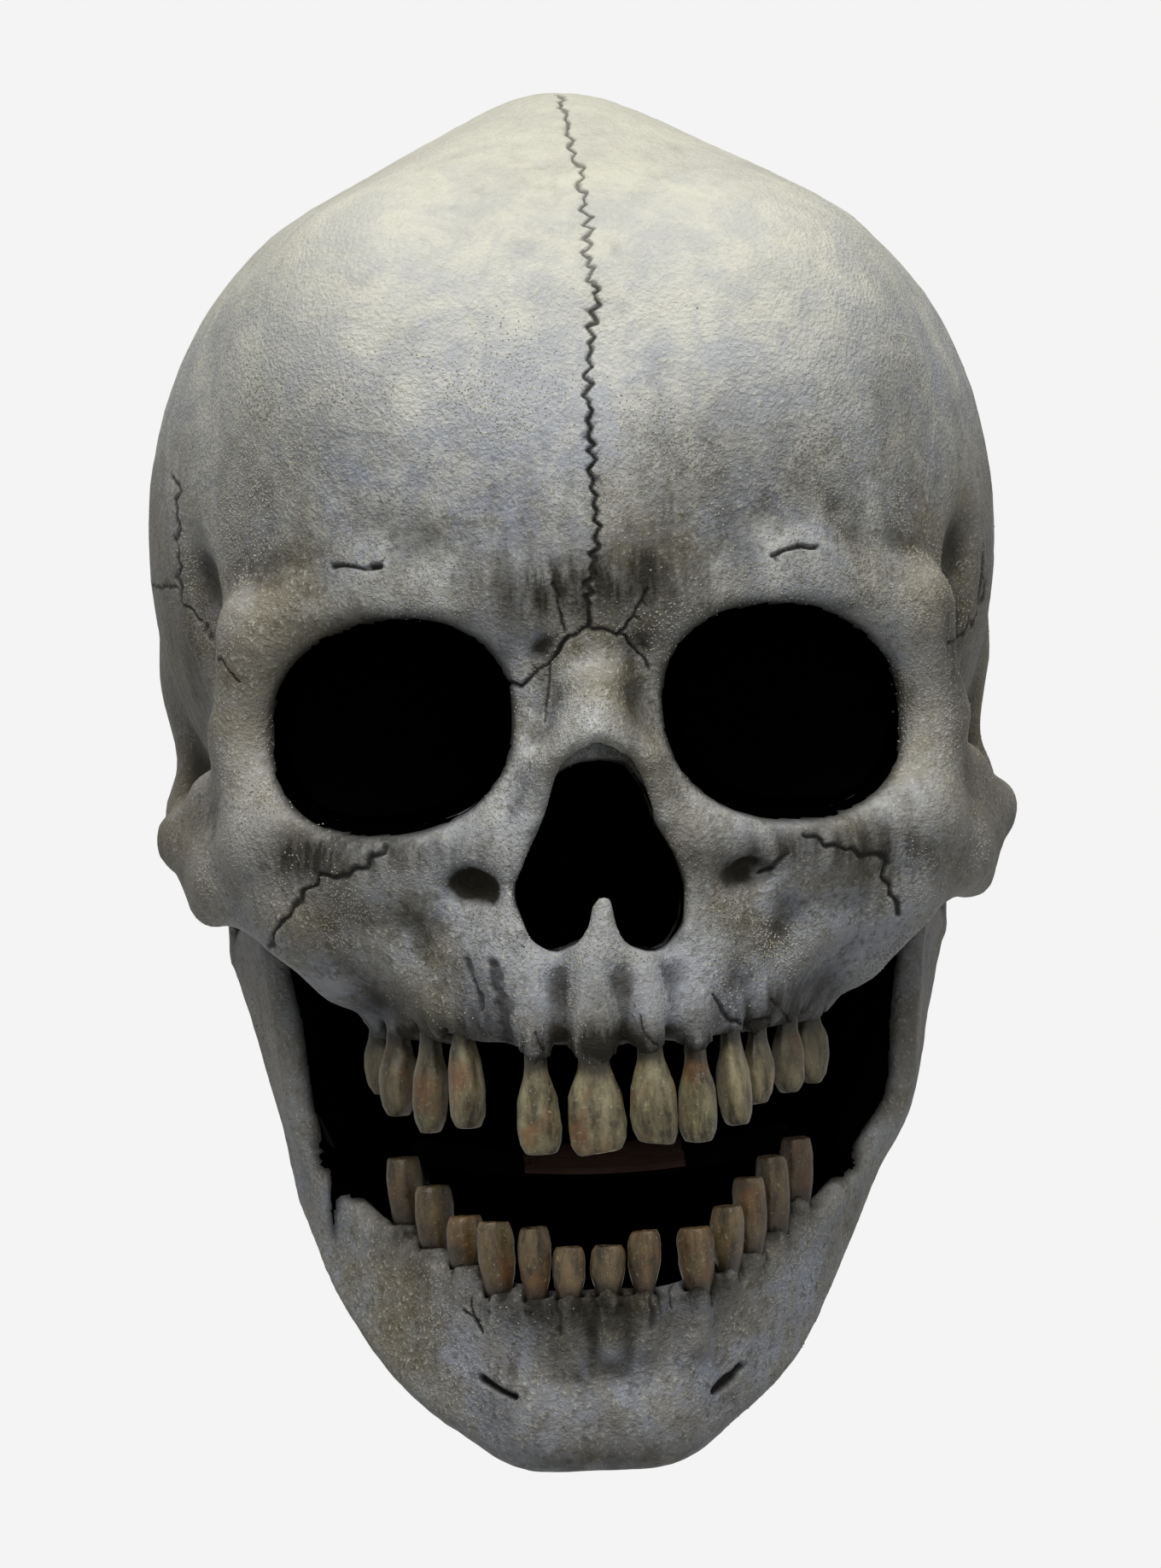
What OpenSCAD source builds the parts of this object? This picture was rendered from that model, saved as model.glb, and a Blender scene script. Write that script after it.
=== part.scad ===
// Full-head skull mask in cast latex, with a hinged lower jaw that follows the wearer's chin.
// +Z is up, the face looks along -Y, and the origin is the middle of the jaw's hinge axis.

/* [Braincase] */
// Width of the braincase at its widest
head_w = 206; // [196:1:216]
// Length from the brow to the back of the head
head_l = 250; // [240:1:260]
// Height of the crown above the jaw hinge
crown_h = 187; // [178:1:196]
// Thickness of the latex skin
wall = 3.5; // [2.5:0.1:4.5]
// Height of the cut rim at the nape, above the one beside the hinge
nape_rise = 25; // [15:1:30]

/* [Face] */
// Distance of each eye centre from the middle
eye_x = 45; // [43:0.5:47]
// Height of the eye centres above the jaw hinge
eye_z = 33; // [31:0.5:35]
// Width of an eye hole at its rim
eye_w = 55; // [50:0.5:57]
// Height of an eye hole at its rim
eye_h = 46; // [42:0.5:48]
// Depth of an eye cup behind its rim
eye_depth = 30; // [24:0.5:33]
// Width of the nose hole
nose_w = 37; // [32:0.5:40]
// Height of the nose hole
nose_h = 43; // [38:0.5:46]
// How far the cheek arches stand in from the widest part of the head
arch_inset = 8; // [6:0.5:10]
// Height of the upper gum line below the jaw hinge
gum_drop = 38; // [36:0.5:40]
// Length of a tooth's root inside its socket
root_l = 7; // [5:0.5:8]

/* [Jaw] */
// Depth of the chin below the jaw hinge
chin_drop = 134.5; // [130:0.5:138]
// Reach of the chin in front of the jaw hinge
chin_reach = 98; // [95:0.5:101]
// Thickness of the jaw wall
jaw_wall = 7; // [6:0.2:8]
// Radius of the jaw's hinge ear
ear_r = 11; // [10:0.2:12]
// Sideways set of the chin, as cast
chin_shift = -5; // [-6:0.5:0]

/* [Hinge] */
// Radius of the hinge rivet's shank
rivet_r = 2.5; // [2:0.1:3]
// Radius of the hinge rivet's heads
rivet_head_r = 6; // [5.5:0.1:7]
// Thickness of the rivet's heads
rivet_head_t = 1.6; // [1.2:0.1:2]
// Running clearance between rivet and eyelet, on the radius
run_gap = 0.05; // [0.02:0.01:0.09]
// Wall of the eyelet in the jaw's ear
eyelet_wall = 0.8; // [0.6:0.05:1.2]
// Thickness of the washers
washer_t = 1; // [0.8:0.1:1.4]

/* [Chin strap] */
// Width of the elastic band
band_w = 20; // [16:0.5:24]
// Thickness of the elastic band
band_t = 1.2; // [1:0.1:1.6]
// Width of the webbing chin pad, along the band
web_l = 37; // [30:0.5:44]
// Depth of the webbing chin pad, across the band
web_w = 25; // [24:0.5:30]
// Thickness of the webbing chin pad
web_t = 1.8; // [1.4:0.1:2.2]
// Sag of the band between its ends
band_sag = 5; // [4:0.5:7]
// Radius of a strap rivet's shank
strap_rivet_r = 1.6; // [1.2:0.1:2]

/* [Lining] */
// Thickness of the foam pads
pad_t = 12; // [10:0.5:14]
// Thickness of the black neck cowl
cowl_t = 1.6; // [1.2:0.1:2]
// Depth of the cowl's hem below the jaw hinge
cowl_drop = 114; // [104:1:120]

/* [Hidden] */
fit_gap = 0.25;
glue_gap = 0.1;
cowl_gap = 0.6;
cowl_front = 18;
head_fn = 28;
ball_fn = 10;
tooth_fn = 8;

// Braincase lobes on the +X side, as [centre, radii], from the three overall sizes
head_y = 13;
front_y = head_y - head_l / 2;
back_y = head_y + head_l / 2;
side_r = 65;
side_x = head_w / 2 - side_r;
mid_z = 75;
SIDE_LOBE = [[side_x, head_y + 3, mid_z + 5], [side_r, head_l / 2 - 13, crown_h - mid_z - 26]];
MID_LOBE = [[0, head_y, mid_z], [64, head_l / 2, crown_h - mid_z]];
BOSS_LOBE = [[34, front_y + 64, mid_z + 32], [48, 56, 54]];
BASE_LOBE = [[side_x, head_y - 1, 2], [37, 74, 40]];
NAPE_LOBE = [[0, back_y - 88, 40], [78, 78, 62]];
LOBES = [SIDE_LOBE, MID_LOBE, BOSS_LOBE, BASE_LOBE, NAPE_LOBE];

// Half width at the middle of the cheek arches, which the hinges and mastoids follow
arch_x = head_w / 2 - arch_inset;

// Landmarks of the face on the +X side, as [point, radius]
GLABELLA = [[0, front_y + 11, 60], 11];
BROW_IN = [[17, front_y + 13, 60], 10];
BROW_MID = [[eye_x + 1, front_y + 21, eye_z + 31], 10];
BROW_OUT = [[eye_x + 28, front_y + 38, eye_z + 20], 10];
RIM_OUT = [[eye_x + 32, front_y + 45, eye_z], 7];
RIM_LOW = [[eye_x + 27, front_y + 41, eye_z - 25], 10];
RIM_MID = [[eye_x + 4, front_y + 25, eye_z - 31], 8];
RIM_IN = [[21, front_y + 13, eye_z - 28], 8];
NOSE_SIDE = [[15, front_y + 11, 46], 7];
NASION = [[0, front_y + 9, 54], 8];
NOSE_TIP = [[2, front_y - 9, 31], 5];
CHEEK = [[62, front_y + 39, -3], 14];
CHEEK_BACK = [[arch_x - 13, front_y + 58, 2], 11];
ARCH_FRONT = [[arch_x - 2, front_y + 82, 9], 7];
ARCH_MID = [[arch_x + 0.5, -8, 11], 6];
ARCH_ROOT = [[arch_x - 3, 16, 14], 9];
MASTOID = [[arch_x - 8, 28, 2], 11];
MAXILLA_TOP = [[24, front_y + 18, 0], 11];
MAXILLA_SIDE = [[44, front_y + 38, -8], 12];
GUM_BACK = [[46, front_y + 47, -gum_drop + 7], 7];
GUM_BEND = [[33, front_y + 18, -gum_drop + 6], 7];
GUM_SIDE = [[18, front_y + 3, -gum_drop + 5], 7];
GUM_FRONT = [[0, front_y - 2, -gum_drop + 4], 7];
SPINE = [[0, front_y - 5, -17], 4];
TEMPLE = [[70, front_y + 82, 50], 14];

// Eye cups, nose hole and the scrims glued behind them
eye_y = front_y + 22;
eye_back_y = eye_y + eye_depth;
cup_back = 0.82;
scrim_t = 1;
eye_scrim_r = eye_w * cup_back / 2 + 2;
nose_z = 3;
nose_depth = 40;
nose_back_y = front_y + nose_depth;
nose_ring_r = nose_w / 2 + 9;
nose_ring_t = 10;
nose_scrim_r = nose_w / 2 + 7;

// Hinge stack along X on the +X side, from the wearer's side outwards
rim_z = -14;
ear_in = arch_x - 15;
ear_out = ear_in + jaw_wall;
boss_out = ear_in - washer_t - 2 * glue_gap;
boss_in = boss_out - 9;
boss_r = rivet_head_r + 4;
ear_room = 2.5;
eyelet_r = rivet_r + run_gap + eyelet_wall;
eyelet_flange_r = eyelet_r + 2;
eyelet_flange_t = 0.8;
rivet_out = ear_out + eyelet_flange_t + glue_gap;
rivet_in = boss_in - washer_t - glue_gap;

// Jaw stations on the +X side, as [low point, top point, share of the chin's set]
jaw_r = jaw_wall / 2;
chin_r = jaw_r + 2;
chin_z = -chin_drop + chin_r;
JAW = [
    [[0, -chin_reach + 6, chin_z], [0, -chin_reach - 4, -chin_drop + 36], 1],
    [[17, -chin_reach + 7, chin_z + 1], [15, -chin_reach - 1, -chin_drop + 36], 1],
    [[28, -chin_reach + 14, chin_z + 7], [29.5, -chin_reach + 9, -chin_drop + 41], 1],
    [[41.5, -chin_reach + 29, chin_z + 17], [42.5, -chin_reach + 26, -chin_drop + 47], 1],
    [[55.5, -chin_reach + 48, chin_z + 34], [53, -chin_reach + 41, -chin_drop + 54], 1],
    [[65, -chin_reach + 70, chin_z + 53], [64, -chin_reach + 59, -chin_drop + 66], 0.7]];
RAMUS = [
    [[ear_in - 8, -10, -61], [70, -38, -56], 0],
    [[ear_in - 2.5, -3, -40], [72, -39, -38], 0],
    [[ear_in + jaw_r, 4, -18], [75, -37, -18], 0]];
CORONOID = [76, -31, -7];

// Chin strap: an elastic band between two lugs on the jaw, with a webbing pad sewn to it
band_y = -40;
band_z = -chin_drop + 69.5;
band_tilt = 10;
lug_x = 45;
lug_h = 16;
plate_t = 1.5;
strap_rivet_dy = 6;
strap_rivet_dz = -10;

// Teeth, as [x, set back from the front, crown from its line, gum from that line, width, depth, turn]
UPPER_TEETH = [
    [-51, 50, 12, 1, 7, 8, 72], [-46.8, 40, 16.5, 1, 8.4, 8.5, 62],
    [-39.5, 28, 20, 1, 7, 8, 52], [-32.2, 17.5, 18.6, 4, 8.2, 7.5, 42],
    [-16.3, 0, 24, -3, 9.6, 7, 14], [-3.6, -4, 24, -2, 13, 7, 3],
    [9, -2.5, 22.5, -1, 10.6, 7, -7], [19.3, 3.5, 22.8, -3, 8.6, 7, -26],
    [27.6, 11.5, 20, 0, 7.4, 7.2, -40], [34.2, 19.5, 16, -1, 6, 7, -48],
    [41.8, 32, 14.5, 0, 6.6, 7.5, -57], [47.6, 44, 13, 1, 7.6, 8, -68]];
LOWER_TEETH = [
    [-46.2, 35, 69, 54.5, 8, 7.5, 64], [-40, 25, 63, 48.5, 8.6, 7.5, 54],
    [-33.5, 14.5, 56.5, 45.5, 8, 7, 46], [-26, 5.5, 55.7, 39.5, 7.8, 6.6, 34],
    [-18, -0.2, 54.5, 39.5, 6.8, 6, 22], [-10.6, -3.2, 50.1, 39.5, 7, 5.4, 11],
    [-1.9, -4.4, 50.1, 40.5, 7.2, 5.4, 0], [6.2, -3.6, 53, 40, 6.8, 5.6, -8],
    [18.4, 0.4, 52.9, 39.5, 7.6, 6.2, -24], [25.6, 6.4, 57, 43.5, 6.8, 6.6, -36],
    [31.4, 14, 62.5, 46.5, 6.8, 6.8, -46], [37.6, 23, 66.5, 50.5, 6.6, 7, -54],
    [43.6, 32.5, 69.8, 56.5, 6.6, 7, -62]];

UPPER_NAMES = [for (i = [1:len(UPPER_TEETH)]) str("upper_tooth_", i)];
LOWER_NAMES = [for (i = [1:len(LOWER_TEETH)]) str("lower_tooth_", i)];

// Small building blocks
module egg(lobe, inset) translate(lobe[0]) scale(lobe[1] - [inset, inset, inset]) sphere(1, $fn = head_fn);
module ball(mark) translate(mark[0]) sphere(mark[1], $fn = ball_fn);
module chain(marks) for (i = [0:len(marks) - 2]) hull() { ball(marks[i]); ball(marks[i + 1]); }
module both_sides() { children(); mirror([1, 0, 0]) children(); }
module mirrored() mirror([1, 0, 0]) children();
module along_x(x0, x1, r) translate([x0, 0, 0]) rotate([0, 90, 0]) cylinder(h = x1 - x0, r = r, $fn = 24);

// The braincase as one egg over its lobes, drawn in by an inset
module braincase(inset = 0) hull() both_sides() for (lobe = LOBES) egg(lobe, inset);

// What is cut away below the rim, which rises towards the nape
module below_rim() {
    translate([-head_w, front_y, rim_z - 60]) cube([2 * head_w, 1 - front_y, 60]);
    hull() {
        translate([-head_w, 0, rim_z - 60]) cube([2 * head_w, 0.01, 60]);
        translate([-head_w, back_y, rim_z - 60]) cube([2 * head_w, 0.01, 60 + nape_rise]);
    }
}

// The bones of the face on the +X side
module face_bones() {
    chain([GLABELLA, BROW_IN, BROW_MID, BROW_OUT, RIM_OUT, RIM_LOW, RIM_MID, RIM_IN, NOSE_SIDE]);
    hull() { ball(NASION); ball(NOSE_TIP); ball(NOSE_SIDE); }
    hull() { ball(NOSE_TIP); ball(NOSE_SIDE); ball(RIM_IN); }
    chain([CHEEK_BACK, ARCH_FRONT, ARCH_MID, ARCH_ROOT, MASTOID]);
    hull() { ball(RIM_LOW); ball(RIM_MID); ball(CHEEK); ball(CHEEK_BACK); }
    hull() { ball(RIM_MID); ball(RIM_IN); ball(MAXILLA_TOP); ball(MAXILLA_SIDE); ball(CHEEK); }
    hull() { ball(MAXILLA_TOP); ball(MAXILLA_SIDE); ball(GUM_BACK); ball(GUM_BEND); }
    hull() { ball(MAXILLA_TOP); ball(GUM_BEND); ball(GUM_SIDE); }
    hull() { ball(MAXILLA_TOP); ball(GUM_SIDE); ball(GUM_FRONT); ball(SPINE); }
    hull() { ball(BROW_OUT); ball(RIM_OUT); ball(TEMPLE); }
}

// Room for the wearer's face behind the cheeks and teeth
module face_room() hull() both_sides() {
    translate([40, front_y + 68, eye_z + 7]) sphere(16, $fn = ball_fn);
    translate([26, front_y + 49, -12]) sphere(12, $fn = ball_fn);
    translate([26, front_y + 42, -gum_drop - 40]) sphere(14, $fn = ball_fn);
    translate([50, -30, -gum_drop - 40]) sphere(14, $fn = ball_fn);
    translate([44, 30, -40]) sphere(14, $fn = ball_fn);
}

// An eye cup's outside or inside: a tapering oval tube with its rim at the brow
module oval(y, w, h) translate([0, y, 0]) rotate([-90, 0, 0])
    resize([w, h, 0.2]) cylinder(h = 0.2, r = 1, $fn = 28);
module eye_tube(grow, front, back) translate([eye_x, 0, eye_z]) hull() {
    oval(eye_y - front, eye_w + 2 * grow, eye_h + 2 * grow);
    oval(eye_back_y + back, eye_w * cup_back + 2 * grow, eye_h * cup_back + 2 * grow);
}

// Nose hole: a pear with two lobes below and the spine between them
module nose_hole() translate([0, nose_back_y + 1, nose_z]) rotate([90, 0, 0]) linear_extrude(60)
    difference() {
        hull() {
            translate([0, nose_h / 2 - 8]) circle(8, $fn = 24);
            for (x = [-1, 1]) translate([x * (nose_w / 2 - 9), -nose_h / 2 + 9]) circle(9, $fn = 24);
        }
        translate([0, -nose_h / 2]) scale([0.4, 1]) circle(10, $fn = 20);
    }

// One tooth: a flared crown and a tapering root
module tooth_form(x, y, tip, gum, w, d, turn, grow) {
    up = sign(gum - tip);
    crown = abs(gum - tip);
    translate([x, y, tip]) rotate([0, 0, turn]) hull() {
        translate([0, 0, up * 2]) scale([w / 2 + grow, d * 0.34 + grow, 2 + grow]) sphere(1, $fn = tooth_fn);
        translate([0, 0, up * crown * 0.5])
            scale([w * 0.46 + grow, d / 2 + grow, 2 + grow]) sphere(1, $fn = tooth_fn);
        translate([0, 0, up * (crown + root_l)])
            scale([w * 0.2 + grow, d * 0.22 + grow, 1 + grow]) sphere(1, $fn = tooth_fn);
    }
}
module upper_form(t, grow = 0)
    tooth_form(t[0], front_y + t[1], -gum_drop - t[2], -gum_drop + t[3], t[4], t[5], t[6], grow);
module lower_form(t, grow = 0)
    tooth_form(t[0], -chin_reach + t[1], -chin_drop + t[2], -chin_drop + t[3], t[4], t[5], t[6], grow);

// Flat seat that a scrim is glued to, cleared behind it
module scrim_seat(x, y, z, r) translate([x, y, z]) rotate([-90, 0, 0]) cylinder(h = 24, r = r + 1, $fn = 28);

module skull_shell() color("#b9b7aa") difference() {
    union() {
        difference() {
            union() {
                difference() { braincase(); below_rim(); }
                both_sides() face_bones();
            }
            braincase(wall);
            face_room();
        }
        both_sides() {
            intersection() {
                difference() { eye_tube(wall, 4, 0); eye_tube(0, 10, 10); }
                translate([0, front_y + 14, eye_z - eye_w]) cube([head_w, eye_back_y - front_y, 2 * eye_w]);
            }
            along_x(boss_in - 2, boss_out, boss_r);
            chain([GUM_FRONT, GUM_SIDE, GUM_BEND, GUM_BACK]);
        }
        translate([0, nose_back_y, nose_z]) rotate([90, 0, 0])
            cylinder(h = nose_ring_t, r = nose_ring_r, $fn = 28);
    }
    both_sides() {
        eye_tube(0, 40, 10);
        along_x(boss_out, rivet_out + rivet_head_t + 2, ear_r + ear_room);
        along_x(boss_in - 1, boss_out + 1, rivet_r + fit_gap);
        along_x(boss_in - 14, boss_in, rivet_head_r + 3);
        scrim_seat(eye_x, eye_back_y + 0.2, eye_z, eye_scrim_r);
    }
    scrim_seat(0, nose_back_y, nose_z, nose_scrim_r);
    nose_hole();
    for (t = UPPER_TEETH) upper_form(t, fit_gap);
}

// The jaw as a chain of upright slices from the chin to the hinge ear, on one side
function set_over(p, side, by) = [side * p[0] + by, p[1], p[2]];
module jaw_slice(s, side, r) {
    translate(set_over(s[0], side, s[2] * chin_shift)) sphere(r, $fn = ball_fn);
    translate(set_over(s[1], side, s[2] * chin_shift * 0.4)) sphere(r, $fn = ball_fn);
}
module jaw_side(side) {
    stations = concat(JAW, RAMUS);
    for (i = [0:len(stations) - 2]) hull() {
        jaw_slice(stations[i], side, i < 4 ? chin_r : jaw_r);
        jaw_slice(stations[i + 1], side, i < 3 ? chin_r : jaw_r);
    }
    hull() {
        jaw_slice(RAMUS[2], side, jaw_r);
        translate(set_over(CORONOID, side, 0)) sphere(jaw_r, $fn = ball_fn);
    }
    mirror([side < 0 ? 1 : 0, 0, 0]) hull() {
        translate(RAMUS[2][0]) sphere(jaw_r, $fn = ball_fn);
        along_x(ear_in, ear_out, ear_r);
    }
}
// Lug inside the jaw wall, with a flat face for the band's end
module at_band() translate([0, band_y, band_z]) rotate([band_tilt, 0, 0]) children();
module lug(side) hull() {
    mirror([side < 0 ? 1 : 0, 0, 0]) at_band()
        translate([lug_x, -band_w / 2 - 2, -lug_h]) cube([1, band_w + 4, lug_h]);
    for (k = [0.25, 0.75]) translate(set_over(JAW[4][0] * (1 - k) + JAW[5][0] * k, side, chin_shift * 0.8))
        sphere(jaw_r - 0.5, $fn = ball_fn);
    for (k = [0.25, 0.75]) translate(set_over(JAW[4][1] * (1 - k) + JAW[5][1] * k, side, chin_shift * 0.32))
        sphere(jaw_r - 0.5, $fn = ball_fn);
}
module rivet_spots() for (y = [-1, 1]) translate([0, y * strap_rivet_dy, strap_rivet_dz]) children();
module jaw_shell() color("#8f8a80") difference() {
    union() {
        jaw_side(1);
        jaw_side(-1);
        lug(1);
        lug(-1);
    }
    both_sides() {
        along_x(ear_in - 1, ear_out + 1, eyelet_r + glue_gap);
        at_band() rivet_spots() along_x(lug_x - 1, lug_x + 5, strap_rivet_r + glue_gap);
    }
    for (t = LOWER_TEETH) lower_form(t, fit_gap);
}

module upper_tooth(i) color("#a59a78") upper_form(UPPER_TEETH[i]);
module lower_tooth(i) color("#9a8460") lower_form(LOWER_TEETH[i]);

// Black see-through scrims, glued behind the eye cups and the nose
module scrim(x, y, z, r) translate([x, y, z]) rotate([-90, 0, 0]) cylinder(h = scrim_t, r = r, $fn = 64);
module eye_scrim() color("#0b0b0c") scrim(eye_x, eye_back_y + 0.2 + glue_gap, eye_z, eye_scrim_r);
module nose_scrim() color("#0b0b0c") scrim(0, nose_back_y + glue_gap, nose_z, nose_scrim_r);

// Hinge hardware on the +X side
module dome(x, side) translate([x, 0, 0]) rotate([0, 90 * side, 0]) rotate_extrude($fn = 48) polygon([
    [0, 0], [rivet_head_r, 0], [rivet_head_r, rivet_head_t * 0.4], [rivet_head_r * 0.7, rivet_head_t * 0.85],
    [rivet_head_r * 0.35, rivet_head_t], [0, rivet_head_t]]);
module hinge_rivet() color("#7d7f82") {
    along_x(rivet_in, rivet_out, rivet_r);
    dome(rivet_in, -1);
    dome(rivet_out, 1);
}
module ring(x0, x1, r, hole) difference() {
    along_x(x0, x1, r);
    along_x(x0 - 1, x1 + 1, hole);
}
module hinge_washer() color("#6b6d70")
    ring(boss_in - washer_t - glue_gap / 2, boss_in - glue_gap / 2, rivet_head_r + 2, rivet_r + glue_gap);
module hinge_spacer() color("#e4e2da")
    ring(boss_out + glue_gap, ear_in - glue_gap, ear_r - 1, rivet_r + glue_gap);
module jaw_eyelet() color("#9c8a56") difference() {
    union() {
        along_x(ear_in, ear_out + eyelet_flange_t, eyelet_r);
        along_x(ear_out + glue_gap / 2, ear_out + eyelet_flange_t, eyelet_flange_r);
    }
    along_x(ear_in - 1, ear_out + 5, rivet_r + run_gap);
}

// Elastic band in the plane of its sag, with its ends turned down against the lugs
band_end = lug_x - glue_gap;
band_reach = band_end - 3;
band_arc = (band_reach * band_reach + band_sag * band_sag) / (2 * band_sag);
module band_ring(r0, r1) translate([0, band_arc - band_sag]) difference() {
    circle(r1, $fn = 240);
    circle(r0, $fn = 240);
}
module band_line() {
    intersection() {
        band_ring(band_arc, band_arc + band_t);
        translate([-band_reach, -2 * band_sag]) square([2 * band_reach, 2 * band_sag]);
    }
    for (x = [-1, 1]) {
        translate([x > 0 ? band_reach - 0.2 : -band_end, -band_t])
            square([band_end - band_reach + 0.2, band_t]);
        translate([x > 0 ? band_end - band_t : -band_end, -lug_h + 1]) square([band_t, lug_h - 1]);
    }
}
module across(w) rotate([90, 0, 0]) linear_extrude(w, center = true) children();
module elastic_band() color("#141414") at_band() difference() {
    across(band_w) band_line();
    both_sides() rivet_spots() along_x(lug_x - 5, lug_x + 1, strap_rivet_r + glue_gap);
}
module chin_pad() color("#5a4038") at_band() across(web_w) intersection() {
    band_ring(band_arc - web_t - glue_gap, band_arc - glue_gap);
    translate([-web_l / 2, -2 * band_sag]) square([web_l, 2 * band_sag + web_t]);
}

// Plate and rivets that hold a band end to its lug, on the +X side
plate_x = band_end - band_t - glue_gap;
module strap_plate() color("#2b2c2e") at_band() difference() {
    translate([plate_x - plate_t, -band_w / 2, -lug_h + 1.5]) cube([plate_t, band_w, 10]);
    rivet_spots() along_x(plate_x - 5, plate_x + 1, strap_rivet_r + glue_gap);
}
module strap_rivet(y) color("#8d8e90") at_band() translate([0, y * strap_rivet_dy, strap_rivet_dz]) {
    along_x(plate_x - plate_t - glue_gap - 0.5, lug_x + 4, strap_rivet_r);
    along_x(plate_x - plate_t - glue_gap - 1, plate_x - plate_t - glue_gap, strap_rivet_r + 1.4);
}

// Foam pads against the inside of the braincase, as chains of flat lozenges
module lozenge(p, r) translate(p) scale(r) sphere(1, $fn = 10);
module foam(points, r) for (i = [0:len(points) - 2]) hull() {
    lozenge(points[i], r);
    lozenge(points[i + 1], r);
}
function roof(y) = mid_z + (MID_LOBE[1][2] - wall) * sqrt(1 - pow((y - head_y) / (head_l / 2 - wall), 2));
crown_pad_half = 40;
forehead_pad_half = 44;
temple_pad_half = 36;
pad_step = 9;
pad_half_w = 16;
temple_pad_half_h = 20;
module crown_pad() color("#2a2a2c")
    foam([for (k = [-4:4]) let (y = head_y + k * crown_pad_half / 4) [0, y, roof(y) - pad_t / 2 - 2]],
        [pad_half_w, pad_step, pad_t / 2]);
function brow(x) = front_y + wall + (x < 34 ? 0.004 * x * x + 6.2 : 0.022 * (x - 34) * (x - 34) + 10.8);
forehead_pad_z = mid_z + 20;
module forehead_pad() color("#2a2a2c")
    foam([for (k = [-4:4]) let (x = k * forehead_pad_half / 4) [x, brow(abs(x)) + pad_t / 2, forehead_pad_z]],
        [pad_step, pad_t / 2, pad_half_w]);
function side_wall(y) = head_w / 2 - wall - 1 - 0.0028 * y * y;
module temple_pad() color("#2a2a2c")
    foam([for (k = [-4:4]) let (y = k * temple_pad_half / 4)
        [side_wall(y) - pad_t / 2, head_y + 3 + y, mid_z + 5]],
        [pad_t / 2, pad_step, temple_pad_half_h]);

// Neck cowl: black cloth glued inside the rim, bulging below it and drawn in at the hem
rim_slope = atan(nape_rise / back_y);
module rim_outline(inset) linear_extrude(0.1) projection(cut = true)
    translate([0, 0, -0.5]) rotate([-rim_slope, 0, 0]) translate([0, 0, -rim_z]) braincase(wall + inset);
module rim_slice(step, inset) {
    if (step[0] > 0) translate([0, 0, step[1]]) scale([step[0], step[0], 1]) rim_outline(inset);
    else translate([0, 0, rim_z]) rotate([rim_slope, 0, 0]) translate([0, 0, step[1]]) rim_outline(inset);
}
// Steps down the cowl: along the rim first, then as [size against the rim, height]
function cowl_steps(over) =
    [[0, 7 + over], [0, -1], [1.14, -45], [1.09, -62], [0.93, -80], [0.63, -cowl_drop - over]];
module cowl_body(inset, over) for (i = [0:4]) hull() {
    rim_slice(cowl_steps(over)[i], inset);
    rim_slice(cowl_steps(over)[i + 1], inset);
}
module neck_cowl() color("#0d0d0e") intersection() {
    difference() { cowl_body(cowl_gap, 0); cowl_body(cowl_gap + cowl_t, 2); }
    translate([-head_w, cowl_front, -2 * cowl_drop]) cube([2 * head_w, back_y, 2 * cowl_drop + crown_h]);
}

skull_shell();
jaw_shell();
for (i = [0:len(UPPER_TEETH) - 1]) upper_tooth(i);
for (i = [0:len(LOWER_TEETH) - 1]) lower_tooth(i);
eye_scrim();  // right_eye_scrim
mirrored() eye_scrim();  // left_eye_scrim
nose_scrim();
hinge_rivet();  // right_hinge_rivet
mirrored() hinge_rivet();  // left_hinge_rivet
hinge_washer();  // right_hinge_washer
mirrored() hinge_washer();  // left_hinge_washer
hinge_spacer();  // right_hinge_spacer
mirrored() hinge_spacer();  // left_hinge_spacer
jaw_eyelet();  // right_jaw_eyelet
mirrored() jaw_eyelet();  // left_jaw_eyelet
elastic_band();
chin_pad();
strap_plate();  // right_strap_plate
mirrored() strap_plate();  // left_strap_plate
strap_rivet(-1);  // right_strap_rivet_1
strap_rivet(1);  // right_strap_rivet_2
mirrored() strap_rivet(-1);  // left_strap_rivet_1
mirrored() strap_rivet(1);  // left_strap_rivet_2
crown_pad();
forehead_pad();
temple_pad();  // right_temple_pad
mirrored() temple_pad();  // left_temple_pad
neck_cowl();
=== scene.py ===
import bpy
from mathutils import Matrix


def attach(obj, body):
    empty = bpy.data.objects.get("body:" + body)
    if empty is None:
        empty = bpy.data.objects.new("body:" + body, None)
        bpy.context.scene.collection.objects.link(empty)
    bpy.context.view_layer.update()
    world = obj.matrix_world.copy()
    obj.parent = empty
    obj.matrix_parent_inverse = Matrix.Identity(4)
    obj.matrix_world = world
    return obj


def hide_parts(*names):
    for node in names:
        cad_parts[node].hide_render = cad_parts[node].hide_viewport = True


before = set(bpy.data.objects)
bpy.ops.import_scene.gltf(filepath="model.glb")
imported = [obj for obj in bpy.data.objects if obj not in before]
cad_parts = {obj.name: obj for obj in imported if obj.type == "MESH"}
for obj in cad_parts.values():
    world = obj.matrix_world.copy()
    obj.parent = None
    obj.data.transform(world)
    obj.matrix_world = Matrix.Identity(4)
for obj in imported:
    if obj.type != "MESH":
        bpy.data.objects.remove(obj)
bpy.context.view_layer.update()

import math

import bmesh
import bpy
import numpy as np
from mathutils import Matrix, Vector

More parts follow.
